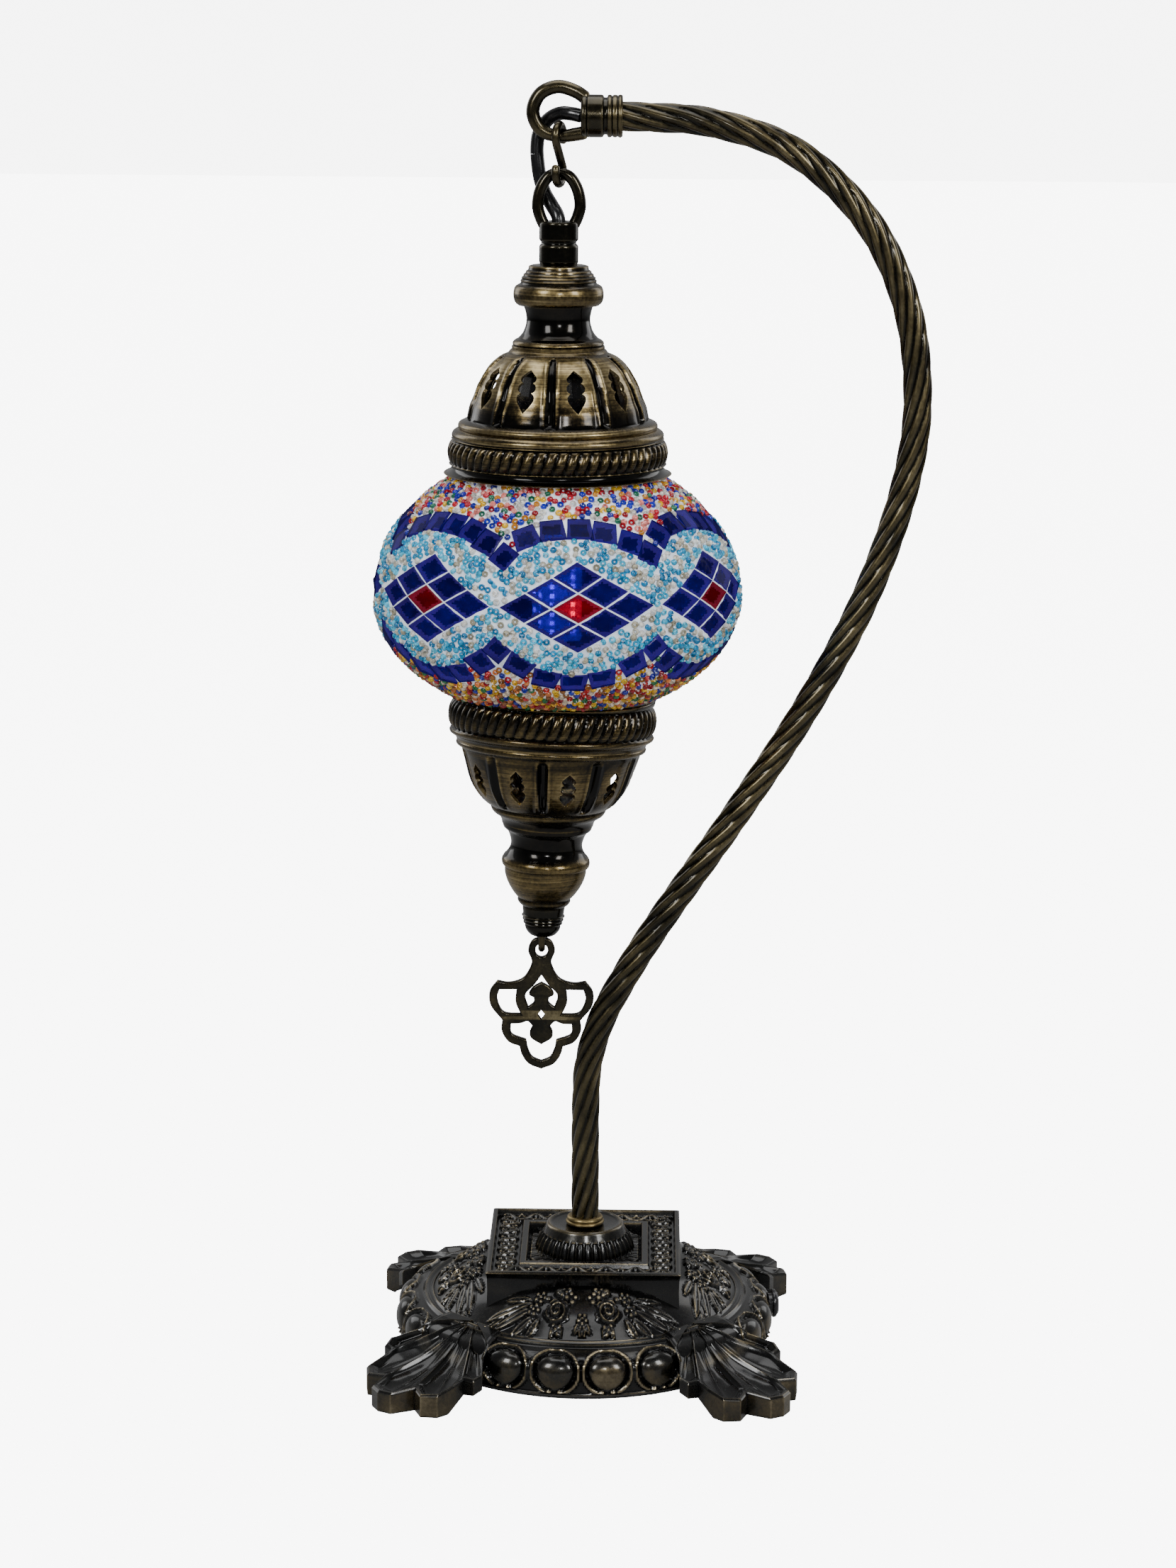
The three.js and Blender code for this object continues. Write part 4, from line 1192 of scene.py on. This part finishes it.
def shell(outer, thickness=CAP_THICKNESS, spacing=2.2):
    """A sheet behind an outer line: the line itself, then its offset back to the start."""
    coarse = outer[::max(1, int(spacing / 0.5))]
    coarse = coarse if np.allclose(coarse[-1], outer[-1]) else np.vstack([coarse, outer[-1:]])
    steps = np.gradient(coarse, axis=0)
    steps /= np.linalg.norm(steps, axis=1)[:, None]
    inner = coarse - thickness * np.abs(steps[:, 1:]) * (1, 0)
    inner[:, 1] += thickness * np.sign(outer[-1, 1] - outer[0, 1]) * steps[:, 0]
    inner[0] = (coarse[0, 0], inner[0, 1])
    inner[-1] = (inner[-1, 0], coarse[-1, 1])
    return np.vstack([outer, inner[::-1]])


def build_upper_cap(finish):
    grooves = 5
    steps = np.linspace(0, 1, 2 * grooves + 1)
    cone = [(9.6 + 2.8 * math.sin(t * math.pi / 2), 362.3 - 5 * t) for t in steps]
    ridged = [(r - 0.3 * (i % 2), z) for i, (r, z) in enumerate(cone)]
    knob = outline([
        (5.3, 350.5), (5.3, 363.2), (8.7, 363.2), [(9.5, 362.9), ridged[0]], *ridged[1:], (12.9, 357.1),
        [(13.9, 356.4), (14.4, 354.8), (14.4, 353), (13.9, 351.4), (12.9, 350.5)], (5.3, 350.5),
    ], 0.4)
    add_piece("grooved_knob", hung(turned(knob, 128)), finish["old_brass"], "pendant", ["top_knob"],
              TONES, 2.0, 1, 30)
    neck = outline([
        (5.3, 336.6), (5.3, 350.6), (11.2, 350.6), [(10.5, 348.2), (10.2, 345.9), (10.6, 343.7),
        (11.5, 341.6), (12.9, 340)], [(13.9, 339.5), (14.6, 338.8), (14.7, 338.2)], (14.3, 337.9),
        [(14.9, 337.6), (14.9, 336.6)], (5.3, 336.6),
    ], 0.4)
    add_piece("waisted_neck", hung(turned(neck, 128)), finish["old_brass"], "pendant", ["upper_neck"],
              TONES, 1.4)
    dome = outline([
        (5.3, 336.8), (14.6, 336.7), [(15.3, 336.4), (16.1, 335.4)], [(17.8, 334.6), (20.8, 332.3),
        (22.8, 330), (24.2, 327.7), (25.5, 325.4), (26.4, 323.1), (27.2, 320.8), (28.2, 318.5),
        (28.7, 316.3), (29.2, 314.2)], [(30.6, 313.6), (31.9, 312.9), (32.2, 311.9), (31.8, 311.2)],
    ])
    pierced = cut_through(turned(shell(dome), 300, panel_swell(314.5, 334.6, 335.2)),
                          hole_cutters(25.2, 325.2, math.radians(26), (1.05, 1.03)))
    pierced.transform(Matrix.Translation((PENDANT_X * MM, 0, 0)))
    add_piece("upper_cap_dome", pierced, finish["old_brass"], "pendant", ["upper_cap"],
              panel_tone(UPPER_PANELS, PENDANT_X, 315, 334.6), 1.5, 1)
    band = outline([
        (31.2, 311.3), [(32.6, 310.9), (33.9, 310), (34.2, 309), (33.9, 308.2)], (34.7, 307.6),
        [(35.6, 304), (35.1, 299.8)], [(34.3, 299.5), (34.1, 299)], [(34.5, 298.1), (35.7, 297.2),
        (36.8, 296.7)],
    ])
    add_piece("upper_cap_band", hung(turned(shell(band), 480, gadroon_swell(60, 299.8, 307.6, 1.1, 0.3))),
              finish["old_brass"], "pendant", tone=TONES, gain=2.2, blur=1)


def build_lower_cap(finish):
    rim = outline([
        (32.2, 224.5), [(33, 224.5), (33.4, 224.1), (33.1, 223.6)], [(33.5, 223.1), (33.3, 222.5)],
        (33.1, 222.1), [(33.8, 219.6), (34.1, 217.2), (33.9, 214.8), (33.2, 212.3)], [(33.5, 211.7),
        (33.2, 210.9), (32.4, 210.4)], [(31.4, 209.6), (30.9, 208.4)],
    ])
    points, faces = turned(shell(rim), 464, gadroon_swell(58, 212.4, 221.8, 1.1, 0.3))
    lift = (0.9 * points[:, 0] + 1.0 * points[:, 1]) / 34 * smooth_step(221.6, 224, points[:, 2])
    points = points + np.stack([0 * lift, 0 * lift, lift], -1)
    add_piece("lower_cap_band", leaning(nodding((points, faces))), finish["deep_brass"], "pendant",
              tone=TONES, gain=2.2, blur=1)
    bowl = outline([
        (30.6, 208.6), [(31.1, 208), (31, 207.1), (30.3, 206.6), (29.4, 206.3)], [(28.7, 204.3),
        (28, 202), (27.3, 199.6), (26.6, 197.2), (25.7, 194.8), (24.5, 192.5), (22.9, 190.1),
        (21.2, 188)], [(20, 187.2), (18.7, 186.8)], [(19, 185.8), (18.2, 184.4), (16.8, 183.6)],
        [(16, 182.8), (15.3, 181.6), (15.1, 180.6)], (3.4, 180.4),
    ])
    pierced = cut_through(turned(shell(bowl), 300, panel_swell(188.6, 205.4, 188)),
                          hole_cutters(26, 196.6, math.radians(-22), (0.92, 0.84)))
    points = np.zeros(len(pierced.vertices) * 3)
    pierced.vertices.foreach_get("co", points)
    points = leaning(nodding((points.reshape(-1, 3) / MM, [])))[0]
    pierced.vertices.foreach_set("co", (points * MM).astype(np.float32).ravel())
    add_piece("lower_cap_bowl", pierced, finish["deep_brass"], "pendant", ["lower_cap"],
              panel_tone(LOWER_PANELS, PENDANT_X - 2, 189, 205), 1.5, 1)
    finial = outline([
        (3.4, 152.7), (3.4, 180.7), (14.8, 180.7), [(14.6, 179.3), (13.2, 178), (12.2, 175.8),
        (11.8, 173.6), (12.2, 171.8), (13.1, 170.3), (14.2, 169), (14.6, 167.8), (14.5, 166.9)],
        [(14.2, 166.3), (13.5, 166)], [(13.4, 163.7), (12.7, 161.3), (11.5, 158.9), (10, 156.7),
        (8.7, 155.3)], [(8.8, 154.4), (8.2, 153.4), (7.4, 152.7)], (3.4, 152.7),
    ], 0.4)
    add_piece("turned_finial", leaning(turned(finial, 128)), finish["deep_brass"], "pendant",
              ["lower_finial"], TONES, 1.4)
    end = outline([
        (3.4, 147.9), (3.4, 152.8), (6.9, 152.8), [(7, 152), (6.8, 150.2), (6.75, 149.6)], [(7.15, 149.1),
        (6.6, 148.5)], [(6.85, 147.9), (6.3, 147.3)], [(6.5, 146.7), (5.9, 146.1)], [(5.9, 145.2),
        (5.3, 143.9), (4.2, 142.7), (3, 142.2)], (0.4, 142.2), (0.4, 147.9), (3.4, 147.9),
    ], 0.3)
    add_piece("ringed_end_cap", leaning(turned(end, 96)), finish["links"], "pendant", ["lower_end_cap"],
              TONES, 1.8)
    legs = [(0, 2.75, 146.5), (0, 2.75, 143.5)]
    for turn in np.radians(np.arange(0, -181, -15)):
        legs.append((0, 2.75 * math.cos(turn), EYE_Z + 2.75 + 2.75 * math.sin(turn)))
    legs += [(0, -2.75, 143.5), (0, -2.75, 146.5)]
    add_piece("charm_staple", leaning(swept(spline(legs, 0.4), EYE_WIRE, 18, (1, 0, 0))), finish["links"],
              "pendant", ["charm_eye"], 0.45)


# ---------------------------------------------------------------- globe
def globe_surface(angle, height, sink=0.0):
    """Points on the globe's outside, sunk below it, and the outward normals there."""
    half = np.where(height > GLOBE_Z, GLOBE_UPPER, GLOBE_LOWER)
    rise = np.clip((height - GLOBE_Z) / half, -0.995, 0.995)
    radius = GLOBE_RADIUS * np.sqrt(1 - rise ** 2)
    out, up = radius / GLOBE_RADIUS ** 2, (height - GLOBE_Z) / half ** 2
    length = np.hypot(out, up)
    normal = around(out / length, angle, up / length)
    return around(radius, angle, height) - normal * np.asarray(sink)[..., None], normal


TILE_THICKNESS = 1.9
COBALT = np.array([0.003, 0.0006, 0.045])
RUBY = np.array([0.07, 0.0006, 0.003])


def block(points, middle):
    """A bevelled block from three rings of four points round its middle."""
    walls = [[i + row, (i + 1) % 4 + row, (i + 1) % 4 + row + 4, i + row + 4]
             for row in (0, 4) for i in range(4)]
    faces = [np.array([[3, 2, 1, 0], *walls, [8, 9, 10, 11]])]
    return moved(outward((np.array(points) - middle, faces)), middle)


def tile_from_corners(corners, normal, gap):
    """A bevelled piece of cut glass inside four corners, with a gap left round it for the grout."""
    middle = corners.mean(0)
    flat = corners - np.outer((corners - middle) @ normal, normal)

    def ring(inset, depth):
        points = []
        for here, last, after in zip(flat, np.roll(flat, 1, 0), np.roll(flat, -1, 0)):
            back = (last - here) / np.linalg.norm(last - here)
            ahead = (after - here) / np.linalg.norm(after - here)
            bend = np.linalg.norm(np.cross(back, ahead))
            points.append(here + (back + ahead) * inset / bend - normal * depth)
        return points

    points = ring(gap + 0.28, 0) + ring(gap, 0.3) + ring(gap, TILE_THICKNESS)
    return block(points, middle - normal)


def diamond_tiles():
    """The 3 by 3 rhombus diamonds: corner angles and heights, tint and gap of each tile."""
    tiles = []
    for i in range(DIAMONDS):
        middle = FIRST_DIAMOND + PERIOD * i
        for a in range(3):
            for b in range(3):
                steps = [(a, b), (a + 1, b), (a + 1, b + 1), (a, b + 1)]
                angles = np.array([middle + DIAMOND_HALF_WIDTH * ((p + q) / 3 - 1) for p, q in steps])
                heights = np.array([DIAMOND_Z + DIAMOND_HALF_HEIGHT * (p - q) / 3 for p, q in steps])
                tint = RUBY if a == b == 1 else COBALT
                tiles.append((angles, heights, tint, 0.33))
    return tiles


UPPER_ARC = [
    (-18, 282.9, 24), (-8.3, 285.3, 9), (1.8, 285.6, -3), (11.8, 284.2, -15), (20, 281.3, -30),
    (26.3, 277.4, 30),
]
LOWER_ARC = [
    (-18.9, 242.9, -33), (-9.9, 238.3, -15), (0, 236.9, 0), (9.9, 238.3, 15), (18.9, 242.9, 33),
    (25.7, 247.8, 45),
]


def arc_tiles():
    """The wavy rows of tiles above and below the diamonds: centre, lean and size of each."""
    tiles = []
    for i in range(DIAMONDS):
        middle = FIRST_DIAMOND + PERIOD * i
        for place, (offset, height, lean) in enumerate(UPPER_ARC):
            if i % 2 == 0:
                lean = {0: 24, 4: -24, 5: -36}.get(place, lean)
            else:
                lean = {0: 42, 4: -46, 5: 31}.get(place, lean)
            size = (7.0, 7.4) if place == 5 else (7.8, 7.7)
            tiles.append((middle + offset, height, lean, size, 0.09 * (1 if place < 5 else 0)))
        for place, (offset, height, lean) in enumerate(LOWER_ARC):
            size = (7.0, 7.0) if place == 5 else (8.3, 7.5)
            tiles.append((middle + offset, height, lean, size, -0.09 * (1 if place < 5 else 0)))
    return tiles


def place_tiles(rng):
    """Every tile as (shape, tint), and the footprints that beads and grout keep clear of."""
    made, footprints = [], []
    for angles, heights, tint, gap in diamond_tiles():
        corners, _ = globe_surface(angles, heights)
        _, normal = globe_surface(angles.mean(), heights.mean())
        made.append((corners, normal, tint, gap))
    for angle, height, lean, (width, tall), wedge in arc_tiles():
        angle = angle + rng.normal(0, 0.3)
        height = height + rng.normal(0, 0.15)
        lean = lean + rng.normal(0, 2.0)
        centre, normal = globe_surface(angle, height)
        east = around(1, angle + 90, 0)
        north = np.cross(normal, east)
        tilt = math.radians(lean)
        run = east * math.cos(tilt) + north * math.sin(tilt)
        rise = north * math.cos(tilt) - east * math.sin(tilt)
        corners = []
        for x, y in CORNERS:
            corners.append(centre + run * x * width / 2 * (1 - wedge * y) + rise * y * tall / 2)
        made.append((np.array(corners), normal, COBALT, 0.0))
    shapes, tints = [], []
    for corners, normal, tint, gap in made:
        wobble = rng.normal(0, 0.02, 3)
        normal = normal + wobble
        normal /= np.linalg.norm(normal)
        shapes.append(tile_from_corners(corners - normal * 0.12, normal, gap))
        shade = rng.uniform(0.7, 1.25)
        tints.append(np.tile(tint * shade, (12, 1)))
        footprints.append((corners, normal))
    return shapes, np.vstack(tints), footprints


def clear_of_tiles(points, footprints, margin):
    """True for each point that is margin or more outside every tile. A negative margin reaches inside."""
    free = np.ones(len(points), bool)
    for corners, normal in footprints:
        middle = corners.mean(0)
        near = np.linalg.norm(points - middle, axis=1) < 12
        chosen = points[near]
        inside = np.ones(len(chosen), bool)
        for i in range(4):
            start, end = corners[i], corners[(i + 1) % 4]
            side = np.cross(normal, end - start)
            side /= np.linalg.norm(side)
            side = side if (middle - start) @ side > 0 else -side
            inside &= (chosen - start) @ side > -margin
        free[np.flatnonzero(near)[inside]] = False
    return free


def wave_height(angle, arc, extra):
    """Height of a wavy tile row at an angle, plus extra."""
    offsets = np.array([offset for offset, _, _ in arc])
    heights = np.array([height for _, height, _ in arc])
    turn = (angle - FIRST_DIAMOND) % PERIOD
    places = np.concatenate([offsets % PERIOD, offsets % PERIOD + PERIOD, offsets % PERIOD - PERIOD])
    order = np.argsort(places)
    return np.interp(turn, places[order], np.tile(heights, 3)[order]) + extra


TURQUOISE = [(0.01, 0.26, 0.5), (0.02, 0.38, 0.62), (0.08, 0.52, 0.74), (0.006, 0.17, 0.38)]
SILVER = [(0.52, 0.5, 0.42), (0.7, 0.7, 0.66), (0.34, 0.31, 0.22)]
PARTY = [
    (0.3, 0.002, 0.012), (0.42, 0.005, 0.02), (0.004, 0.008, 0.28), (0.006, 0.014, 0.4), (0.7, 0.42, 0.01),
    (0.5, 0.2, 0.015), (0.003, 0.12, 0.06), (0.7, 0.2, 0.17), (0.5, 0.48, 0.44), (0.66, 0.66, 0.62),
]
AMBER = [
    (0.62, 0.34, 0.012), (0.7, 0.44, 0.015), (0.6, 0.17, 0.04), (0.28, 0.003, 0.014), (0.38, 0.012, 0.012),
    (0.012, 0.13, 0.04), (0.006, 0.012, 0.26), (0.62, 0.52, 0.4), (0.24, 0.08, 0.012),
]
BEAD_PITCH = 1.74


def bead_places(rng, footprints):
    """Random points on the globe, a bead apart from each other and clear of the tiles."""
    levels = np.linspace(224.2, 296.4, 600)
    line, _ = globe_surface(np.zeros(600), levels)
    ring = np.hypot(line[:, 0], line[:, 1])
    area = np.concatenate([[0], np.cumsum(ring[1:] * np.linalg.norm(np.diff(line, axis=0), axis=1))])
    count = 90000
    heights = np.interp(rng.uniform(0, area[-1], count), area, levels)
    angles = rng.uniform(-180, 180, count)
    points, normals = globe_surface(angles, heights)
    free = clear_of_tiles(points, footprints, 0.75)
    cells, kept = {}, []
    for i in np.flatnonzero(free):
        point = points[i]
        key = tuple(np.floor(point / BEAD_PITCH).astype(int))
        near = [cells.get((key[0] + a, key[1] + b, key[2] + c), ())
                for a in (-1, 0, 1) for b in (-1, 0, 1) for c in (-1, 0, 1)]
        if all(((points[j] - point) ** 2).sum() > BEAD_PITCH ** 2 for group in near for j in group):
            cells.setdefault(key, []).append(i)
            kept.append(i)
    return points[kept], normals[kept], angles[kept], heights[kept]


def bead_shape(points, normals, tints, rng):
    """Rings of glass, some with the hole facing out and some on their side, and a tint for every point."""
    section = np.array([(1.26, -0.35), (1.26, 0.35), (0.84, 0.85), (0.38, 0.15), (0.84, -0.85)])
    around_count = 8
    turn = np.arange(around_count) * 2 * math.pi / around_count
    ring = np.stack([section[:, :1] * np.cos(turn), section[:, :1] * np.sin(turn),
                     np.broadcast_to(section[:, 1:], (len(section), around_count))], -1)
    model, faces = lattice(ring, wrap_rows=True)
    quads = faces[0]
    count = len(points)
    axis = rng.normal(size=(count, 3))
    axis = normals + axis * np.where(rng.uniform(size=count) < 0.62, 0.22, 1.6)[:, None]
    axis /= np.linalg.norm(axis, axis=1)[:, None]
    side = np.cross(axis, rng.normal(size=(count, 3)))
    side /= np.linalg.norm(side, axis=1)[:, None]
    frames = np.stack([side, np.cross(axis, side), axis], 1) * rng.uniform(0.8, 0.96, (count, 1, 1))
    placed = np.einsum("pk,nkj->npj", model, frames) + (points - normals * 0.55)[:, None]
    start = np.arange(count)[:, None, None] * len(model)
    shape = outward((placed.reshape(-1, 3), [(quads[None] + start).reshape(-1, 4)]))
    return shape, np.repeat(tints, len(model), axis=0)


def pick(rng, palette, count):
    return np.array(palette)[rng.integers(0, len(palette), count)] * rng.uniform(0.8, 1.15, (count, 1))


def add_tinted(name, shape, tints, finish, sharp=50):
    piece = add_piece(name, hung(shape), finish, "pendant", tone=0.5, gain=0, blur=0, sharp=sharp)
    store_tint(piece.data, tints)
    return piece


def build_mosaic(finish):
    rng = np.random.default_rng(SEED)
    shapes, tints, footprints = place_tiles(rng)
    tiles = add_tinted("mosaic_glass_tiles", merged(shapes), tints, finish["tiles"], 15)
    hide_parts("mosaic_skin")
    points, normals, angles, heights = bead_places(rng, footprints)
    above = heights > wave_height(angles, UPPER_ARC, 0)
    below = heights < wave_height(angles, LOWER_ARC, 0)
    zones = (("beads_turquoise", ~above & ~below), ("beads_upper", above), ("beads_lower", below))
    for name, chosen in zones:
        count = int(chosen.sum())
        if name == "beads_turquoise":
            silver = (rng.uniform(size=count) < 0.36)[:, None]
            colours = np.where(silver, pick(rng, SILVER, count), pick(rng, TURQUOISE, count))
        else:
            colours = pick(rng, PARTY if name == "beads_upper" else AMBER, count)
        shape, bead_tints = bead_shape(points[chosen], normals[chosen], colours, rng)
        add_tinted(name, shape, bead_tints, finish["beads"])
    build_grout(finish, footprints)


def build_grout(finish, footprints):
    """The grout between tiles and beads, open behind the glass of each tile."""
    angle = np.arange(400) * 0.9
    height = np.concatenate([np.linspace(223.5, 230, 14)[:-1], np.linspace(230, 285, 74)[:-1],
                             np.linspace(285, 297, 24)])
    uneven = 0.12 * np.sin(angle * 0.9)[None] * np.sin(height * 1.3)[:, None]
    angles, heights = np.meshgrid(angle, height)
    points, _ = globe_surface(angles, heights, 0.75 + uneven)
    flat, faces = lattice(points)
    kept = clear_of_tiles(flat, footprints, -0.5)
    quads = faces[0]
    quads = quads[kept[quads].any(1)]
    used, quads = np.unique(quads, return_inverse=True)
    shape = (flat[used], [quads.reshape(-1, 4)[:, ::-1]])
    grout = add_piece("grout", hung(shape), finish["grout"], "pendant", gain=0, blur=0)
    wall = grout.modifiers.new("wall", "SOLIDIFY")
    wall.thickness = 1.3 * MM
    wall.offset = 1


def globe_shell(offset, thickness, top, bottom):
    def line(inset):
        radius = GLOBE_RADIUS - inset
        start, end = math.acos(top / radius), -math.acos(bottom / radius)
        turns = np.linspace(start, end, 48)
        half = np.where(turns > 0, GLOBE_UPPER, GLOBE_LOWER) - inset
        return np.stack([radius * np.cos(turns), GLOBE_Z + half * np.sin(turns)], -1)
    return np.vstack([line(offset), line(offset + thickness)[::-1]])


BULB_RADIUS = 19
BULB_Z = 258.5
CHIP_RINGS = [(0.65, -0.4), (0.65, 0.25), (0.45, 0.5)]


def build_glass(finish):
    add_piece("blown_globe", hung(turned(globe_shell(3.3, 2.2, 31, 29), 128)), finish["glass"], "pendant",
              ["globe_glass"], sharp=60)
    turns = np.radians(60 - np.linspace(0, 149.5, 30))
    ball = [(BULB_RADIUS * math.cos(turn), BULB_Z + BULB_RADIUS * math.sin(turn)) for turn in turns]
    loop = np.vstack([[(0.4, 279.3), (7.2, 279.3), (7.4, 277)], ball, [(0.4, 239.5)]])
    add_piece("bulb_envelope", hung(turned(loop, 64)), finish["bulb"], "pendant", ["bulb_glass"])
    core = outline([
        (0.5, 242), (8.4, 242), (9.2, 243), (9.2, 273), (6, 276), (0.5, 276), (0.5, 242),
    ], 3)
    add_piece("lamp_core", hung(spun(turned(core, 4), CORE_TURN + 45)), finish["core"], "pendant",
              sharp=20)
    chips = []
    for face in range(4):
        angle = CORE_TURN + 90 * face
        out, side, up = around(1, angle, 0), around(1, angle + 90, 0), np.array([0, 0, 1])
        for offset in (-3.5, 3.5):
            for level in np.arange(245.5, 272, 3.0):
                middle = out * 6.55 + side * offset + up * level
                points = [middle + side * x * half + up * z * half + out * depth
                          for half, depth in CHIP_RINGS for x, z in CORNERS]
                chips.append(block(points, middle))
    add_piece("lamp_chips", hung(merged(chips)), finish["chips"], "pendant", sharp=20)


# ---------------------------------------------------------------- charm
CHARM_OUTLINE = [
    (0, 4.3), [(3, 3.1), (4.3, 0), (3.3, -2.7)], [(3.1, -4.1), (5.9, -9.1), (10.8, -10.8), (14.8, -10.3)],
    [(17.2, -13.6), (17, -18), (13, -23)], [(13.2, -26.5), (11, -30), (7.2, -31.5)], [(6.4, -34.3),
    (4.2, -37.2), (0, -38.9)],
]
CHARM_ARCH = [
    (0, -7.8), [(2.6, -11.3), (5.6, -14.7), (4.5, -18.9)], [(2.3, -17), (2.4, -15.4)], [(4, -14.4),
    (2.6, -12.2), (0, -10.7)],
]
CHARM_LOWER = [
    (0, -30.8), [(3.5, -28.5), (3.6, -26.6), (2.7, -24.9)], [(4.6, -23.2), (7, -23.9), (10.5, -24.1)],
    [(10.2, -27.5), (5.2, -29.6)], [(4.7, -32.2), (3.1, -35.2), (0, -36.6)],
]
CHARM_WIDTH_SCALE = 0.988
CHARM_HEIGHT_SCALE = 1.05
CHARM_BEVEL = 0.62
CHARM_DIAMOND = [(0, -18.9), (1.9, -21.1), (0, -23.5)]
CHARM_WING = [
    (8.2, -12.7), (14.3, -12.8), [(15.1, -15.8), (12.9, -20.4), (6.7, -21.1)], [(8.5, -17), (8.2, -12.7)],
]


def mirrored(marks):
    right = outline(marks, 0.45)
    return np.vstack([right, right[-2:0:-1] * (-1, 1)])


def build_charm(finish):
    """The openwork charm: a flat casting with rounded edges, filled between its outline and its holes."""
    wing = outline(CHARM_WING, 0.45)[:-1]
    turns = np.radians(np.arange(0, 360, 12))
    hole = 2.3 * np.stack([np.cos(turns), np.sin(turns)], -1)
    rings = [mirrored(CHARM_OUTLINE), mirrored(CHARM_ARCH), mirrored(CHARM_LOWER), mirrored(CHARM_DIAMOND),
             wing, wing * (-1, 1), hole]
    curve = bpy.data.curves.new("charm_outline", "CURVE")
    curve.dimensions, curve.fill_mode = "2D", "BOTH"
    curve.extrude = CHARM_THICKNESS / 2 - CHARM_BEVEL
    curve.bevel_depth = CHARM_BEVEL
    curve.bevel_resolution = 4
    curve.offset = 0.2 - CHARM_BEVEL
    for ring in rings:
        stroke = curve.splines.new("POLY")
        stroke.points.add(len(ring) - 1)
        for point, (x, z) in zip(stroke.points, ring):
            point.co = (x, z, 0, 1)
        stroke.use_cyclic_u = True
    flat = bpy.data.objects.new("charm_flat", curve)
    bpy.context.scene.collection.objects.link(flat)
    mesh = bpy.data.meshes.new_from_object(flat.evaluated_get(bpy.context.evaluated_depsgraph_get()))
    bpy.data.objects.remove(flat)
    work = bmesh.new()
    work.from_mesh(mesh)
    bmesh.ops.remove_doubles(work, verts=work.verts, dist=0.01)
    bmesh.ops.recalc_face_normals(work, faces=work.faces)
    work.to_mesh(mesh)
    work.free()
    low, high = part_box("charm")
    top = high.z / MM - 4.3
    place = Matrix.Translation(((low.x + high.x) / 2, 0, top * MM)) @ Matrix.Rotation(math.pi / 2, 4, "X")
    mesh.transform(place @ Matrix.Diagonal((CHARM_WIDTH_SCALE * MM, CHARM_HEIGHT_SCALE * MM, MM, 1)))
    add_piece("openwork_charm", mesh, finish["charm"], "charm", ["charm"], 0.34, 2.0, 1, 50)


# ---------------------------------------------------------------- carried CAD nodes
CARRIED = {
    "steel": ["base_cover_plate", "cover_screw_1", "cover_screw_2", "cover_screw_3", "arm_lock_washer",
              "arm_lock_nut", "cap_lock_nut", "globe_holder_bar", "bulb_screw_cap", "lower_clamp_bar",
              "finial_rod", "finial_rod_nut"],
    "brass": ["upper_nipple"],
    "plastic": ["lampholder_cap", "lampholder_body", "lampholder_ring"],
}


def finish_carried(finish):
    for key, names in CARRIED.items():
        for name in names:
            materials = frame["nodes"][name].data.materials
            materials.clear()
            materials.append(finish[key][0])


def make_finishes():
    """The material and the record's slot of each finish."""
    materials = {
        "casting": patinated("black_bronze", BRONZE_STOPS, EVEN, 0.25, 0.22, 0.0001, 0.05, 0.85, 0.6),
        "arm": patinated("rope_brass", ARM_STOPS, EVEN, 0.3, 0.3, 0.00004, 0.04),
        "old_brass": patinated("antique_brass", BRASS_STOPS, ROUND_Z, 0.27, 0.25),
        "deep_brass": patinated("deep_antique_brass", DEEP_BRASS_STOPS, ROUND_Z, 0.27, 0.25),
        "links": patinated("blackened_brass", ARM_STOPS, EVEN, 0.24, 0.2, 0.00003, 0.03),
        "charm": patinated("cast_charm_brass", ARM_STOPS, EVEN, 0.34, 0.4, 0.00014),
        "brass": plain_metal("plain_brass", (0.34, 0.26, 0.12), 0.35, 0.5),
        "steel": plain_metal("zinc_steel", (0.55, 0.55, 0.54), 0.35, 0.75),
        "plastic": moulded("black_plastic", (0.012, 0.012, 0.014), 0.22, 0.0008),
        "cable": moulded("cable_sheath", (0.004, 0.004, 0.0045), 0.18, 0.006),
        "felt": felt_material(),
        "glass": clear_glass("blown_glass", (0.95, 0.97, 1.0), 1.45),
        "bulb": clear_glass("bulb_glass", (1.0, 1.0, 1.0), 1.0),
        "tiles": tile_glass(),
        "beads": bead_glass(),
        "grout": grout_material(),
        "core": glowing("lamp_core_glow", (0.75, 0.8, 1.0), 6.5, 0.5),
        "chips": glowing("lamp_chip_glow", (0.85, 0.92, 1.0), 350, 0.9),
    }
    slots = {
        "dark_bronze": ["casting"], "old_brass": ["arm", "old_brass", "deep_brass", "links", "charm"],
        "plain_brass": ["brass"], "steel": ["steel"], "black_plastic": ["plastic"], "cable_sheath": ["cable"],
        "felt": ["felt"], "clear_glass": ["glass"], "opal_glass": ["bulb", "core", "chips"],
        "mosaic_tiles": ["tiles", "beads", "grout"],
    }
    return {key: (materials[key], slot) for slot, keys in slots.items() for key in keys}


make_camera()
finishes = make_finishes()
build_base(finishes)
build_arm(finishes)
build_cable(finishes)
build_hook(finishes)
build_pendant_loop(finishes)
build_upper_cap(finishes)
build_lower_cap(finishes)
build_glass(finishes)
build_mosaic(finishes)
build_charm(finishes)
finish_carried(finishes)
make_studio()
make_floor()
